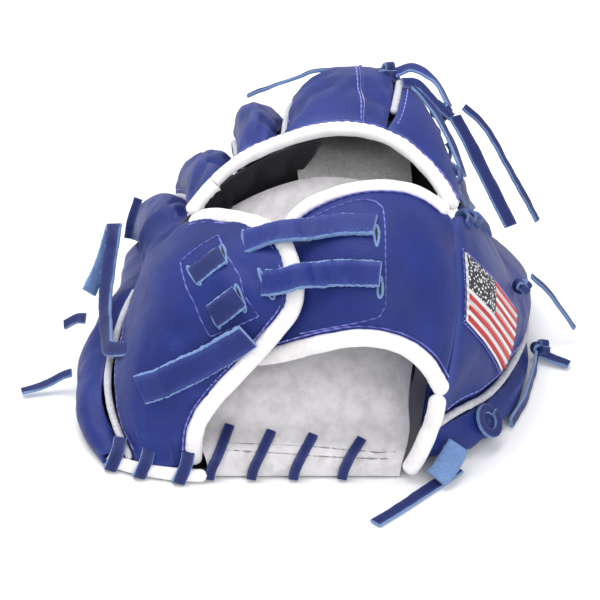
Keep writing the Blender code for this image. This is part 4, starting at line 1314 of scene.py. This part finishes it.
def whip_lace(label, sheet, places, cad_node, seed):
    """Short laces whipped over a panel's right border, one at each share of its length."""
    points = finer(sheet.points, 4, 0)
    normals = sheet.sign * grid_normals(points)
    for k, place in enumerate(places):
        j = int(place * (len(points) - 1))
        ahead = min(j + 3, len(points) - 1)
        edge, look = points[j, -1] / MM, normals[j, -1]
        away = unit(points[j, -1] - points[j, -2])
        skew = unit(points[ahead, -1] - points[ahead - 3, -1]) * 1.5
        stops = [(edge - away * 6.0 + look * 1.2 - skew, look),
                 (edge - away * 2.4 + look * 2.0, look),
                 (edge + away * 1.8 + look * 0.4, unit(look + away)),
                 (edge + away * 2.2 - look * 2.6, away),
                 (edge - away * 1.5 - look * 4.4 + skew, unit(away - look))]
        free_lace(f"{label}_whip_{k + 1}", stops, 5.0, cad_node, seed + k, 1.5, flesh_side)


knot("top_knot", (43, 172, 117.5), (1, -0.2, 0.3), (0, -0.5, 0.9), 4.5, 5.0, "web_top_loop", 101)
knot("web_knot", (69, 152, 107), (0.6, -0.5, -0.5), (0.3, -0.5, 0.8), 3.8, 5.0, "web_top_loop", 102)
whip_lace("thumb_web", thumb, [0.10 + 0.095 * k for k in range(5)], "thumb_back", 110)
whip_lace("index_web", index_side, [0.16 + 0.10 * k for k in range(8)], "index_wing", 130)
free_lace("web_lace_run", [((52, 165, 117.5), (0.4, -0.4, 0.9)), ((60, 152, 114.5), (0.6, -0.3, 0.8)),
                           ((67, 138, 110), (0.7, -0.3, 0.7)), ((73, 120, 104), (0.8, -0.3, 0.6)),
                           ((77, 102, 98), (0.8, -0.4, 0.5))], 5.0, "web_top_loop", 145)
free_lace("web_lace_cross", [((50, 158, 119), (0.3, -0.5, 0.8)), ((58, 160, 117), (0.4, -0.5, 0.8)),
                             ((66, 150, 112), (0.6, -0.5, 0.7)), ((74, 146, 106), (0.7, -0.5, 0.6))], 5.5,
          "web_top_loop", 146)
knot("heel_knot", (118, 94, 6.5), (1, -0.3, 0.1), (0, -0.5, 0.9), 3.2, 4.5, "rim_lace_end", 103)
knot("side_knot", (106.5, 86, 46), (0.8, -0.3, -0.5), (0.6, -0.5, 0.6), 3.0, 4.0, "tail_side", 104)


# ---------------------------------------------------------------- the pinky corner of the heel

def heel_corner():
    """A white strip under the wrist wing, with the heel lace whipped over it."""
    stops = [(-88, 3, 4.0), (-76, -3, 3.8), (-62, -7.2, 3.6), (-50, -9.2, 3.6), (-42, -9.6, 3.6)]
    line = finer(np.array(stops) * MM, 14)
    side, up = frames_along(line, np.tile((0.0, -1.0, 0.3), (len(line), 1)))
    ends = rounded_ends(line, 3 * MM)
    rings = [[centre + s * x * 3.0 * MM * e + u * y * 1.4 * MM * e for x, y in oval(1.0, 1.0, 14, 3)]
             for centre, s, u, e in zip(line, side, up, ends)]
    rides_like(tube("heel_strip", rings, binding_white), "palm_shell")
    for k, share in enumerate((0.08, 0.34, 0.68)):
        x, y = line[int(share * (len(line) - 1))][:2] / MM
        stops = [((x + 3, y + 5, 13.5), (0, -0.6, 0.8)), ((x + 2, y - 0.5, 10), (0, -0.9, 0.4)),
                 ((x, y - 2.6, 5.5), (0, -1, 0.1)), ((x - 1.5, y - 2.4, 1.6), (0, -1, -0.1)),
                 ((x - 2, y + 1.5, 0.9), (0, -0.5, -0.9))]
        free_lace(f"heel_corner_lace_{k + 1}", stops, 6.0, "palm_shell", 150 + k, 1.8)


heel_corner()


# ---------------------------------------------------------------- painted shadow in the finger stalls

def stall_shadow_sheet():
    """A crumpled black sheet of painted shadow, in the black lining leather, that closes the roots of the
    pinky, ring and middle stalls.
    """
    top = [(-57, 89, 78), (-48, 94, 86), (-37, 99, 95), (-24, 103, 102.5), (-12, 105.5, 108), (0, 107, 112),
           (12, 108.5, 115)]
    foot = [(-50, 97, 60), (-44, 99, 63), (-38, 101, 66), (-31, 103, 70), (-24, 105, 73), (-16, 107, 77),
            (-8, 108, 80)]
    rows = [np.array(top, float) * (1 - t) + np.array(foot, float) * t for t in np.linspace(0, 1, 5)]
    grid = finer_grid(np.array(rows) * MM, 8)
    normal = grid_normals(grid)
    share = np.linspace(0, 1, len(grid))[:, None]
    folds = rumple(grid * np.array([1.0, 1.0, 0.35]), 9 * MM, 171) * 2.2 * np.sin(math.pi * share)
    outer = grid + normal * folds[..., None] * MM
    inner = outer - normal * 1.2 * MM
    rides_like(joined_slabs("stall_shadow_sheet", [(outer, inner)], black_lining_and_shade), "index_lining")


stall_shadow_sheet()


# ---------------------------------------------------------------- a finish for the hidden CAD solids

for solid in frame["nodes"].values():
    solid.data.materials.clear()
    solid.data.materials.append(royal_dark)


# ---------------------------------------------------------------- floor, light and camera

def placed(made, at, look):
    """Puts a lamp or a camera at a place, looking along a direction."""
    made.location = at
    made.rotation_mode = "QUATERNION"
    made.rotation_quaternion = look.to_track_quat("-Z", "Y")
    bpy.context.scene.collection.objects.link(made)
    return made


def studio():
    """White paper on a table, a pale room and two soft boxes."""
    corners = [(-3, -3, 0), (3, -3, 0), (3, 3, 0), (-3, 3, 0)]
    floor = mesh_piece("floor", corners, [(0, 1, 2, 3)], [], sharp=None)
    paper, tree, base, vector = shader("floor_paper")
    tone = ramp(tree, clouds(tree, vector, 0.4, 3), [(0.3, grey(0.90)), (0.7, grey(0.93))])
    tree.links.new(tone, base.inputs["Base Color"])
    set_inputs(base, Roughness=0.9)
    floor.data.materials.append(paper)
    floor.location.z = -0.3 * MM
    world = bpy.data.worlds.new("studio")
    world.use_nodes = True
    set_inputs(world.node_tree.nodes["Background"], Color=(1.0, 1.0, 1.0, 1), Strength=0.75)
    bpy.context.scene.world = world
    for name, spot, size, power in (("top_soft_box", (-0.3, 0.3, 1.3), 1.2, 16.0),
                                    ("front_soft_box", (0.5, -1.2, 0.9), 1.0, 9.0)):
        light = bpy.data.lights.new(name, "AREA")
        light.size = size
        light.energy = power
        placed(bpy.data.objects.new(name, light), spot, Vector((0, 0.09, 0.05)) - Vector(spot))


SENSOR = 36


def camera():
    """Level with the wrist opening, 30 degrees above the table."""
    target = Vector((0, 0.09, 0.06))
    rise, distance, seen_width = math.radians(30), 1.1, 0.2857
    back = Vector((0, -math.cos(rise), math.sin(rise)))
    optics = bpy.data.cameras.new("camera")
    optics.sensor_width = SENSOR
    optics.lens = SENSOR * distance / seen_width
    optics.shift_y = -0.0717
    view = bpy.data.objects.new("camera", optics)
    bpy.context.scene.camera = placed(view, target + back * distance, -back)


studio()
camera()
bpy.context.scene.view_settings.view_transform = "Standard"
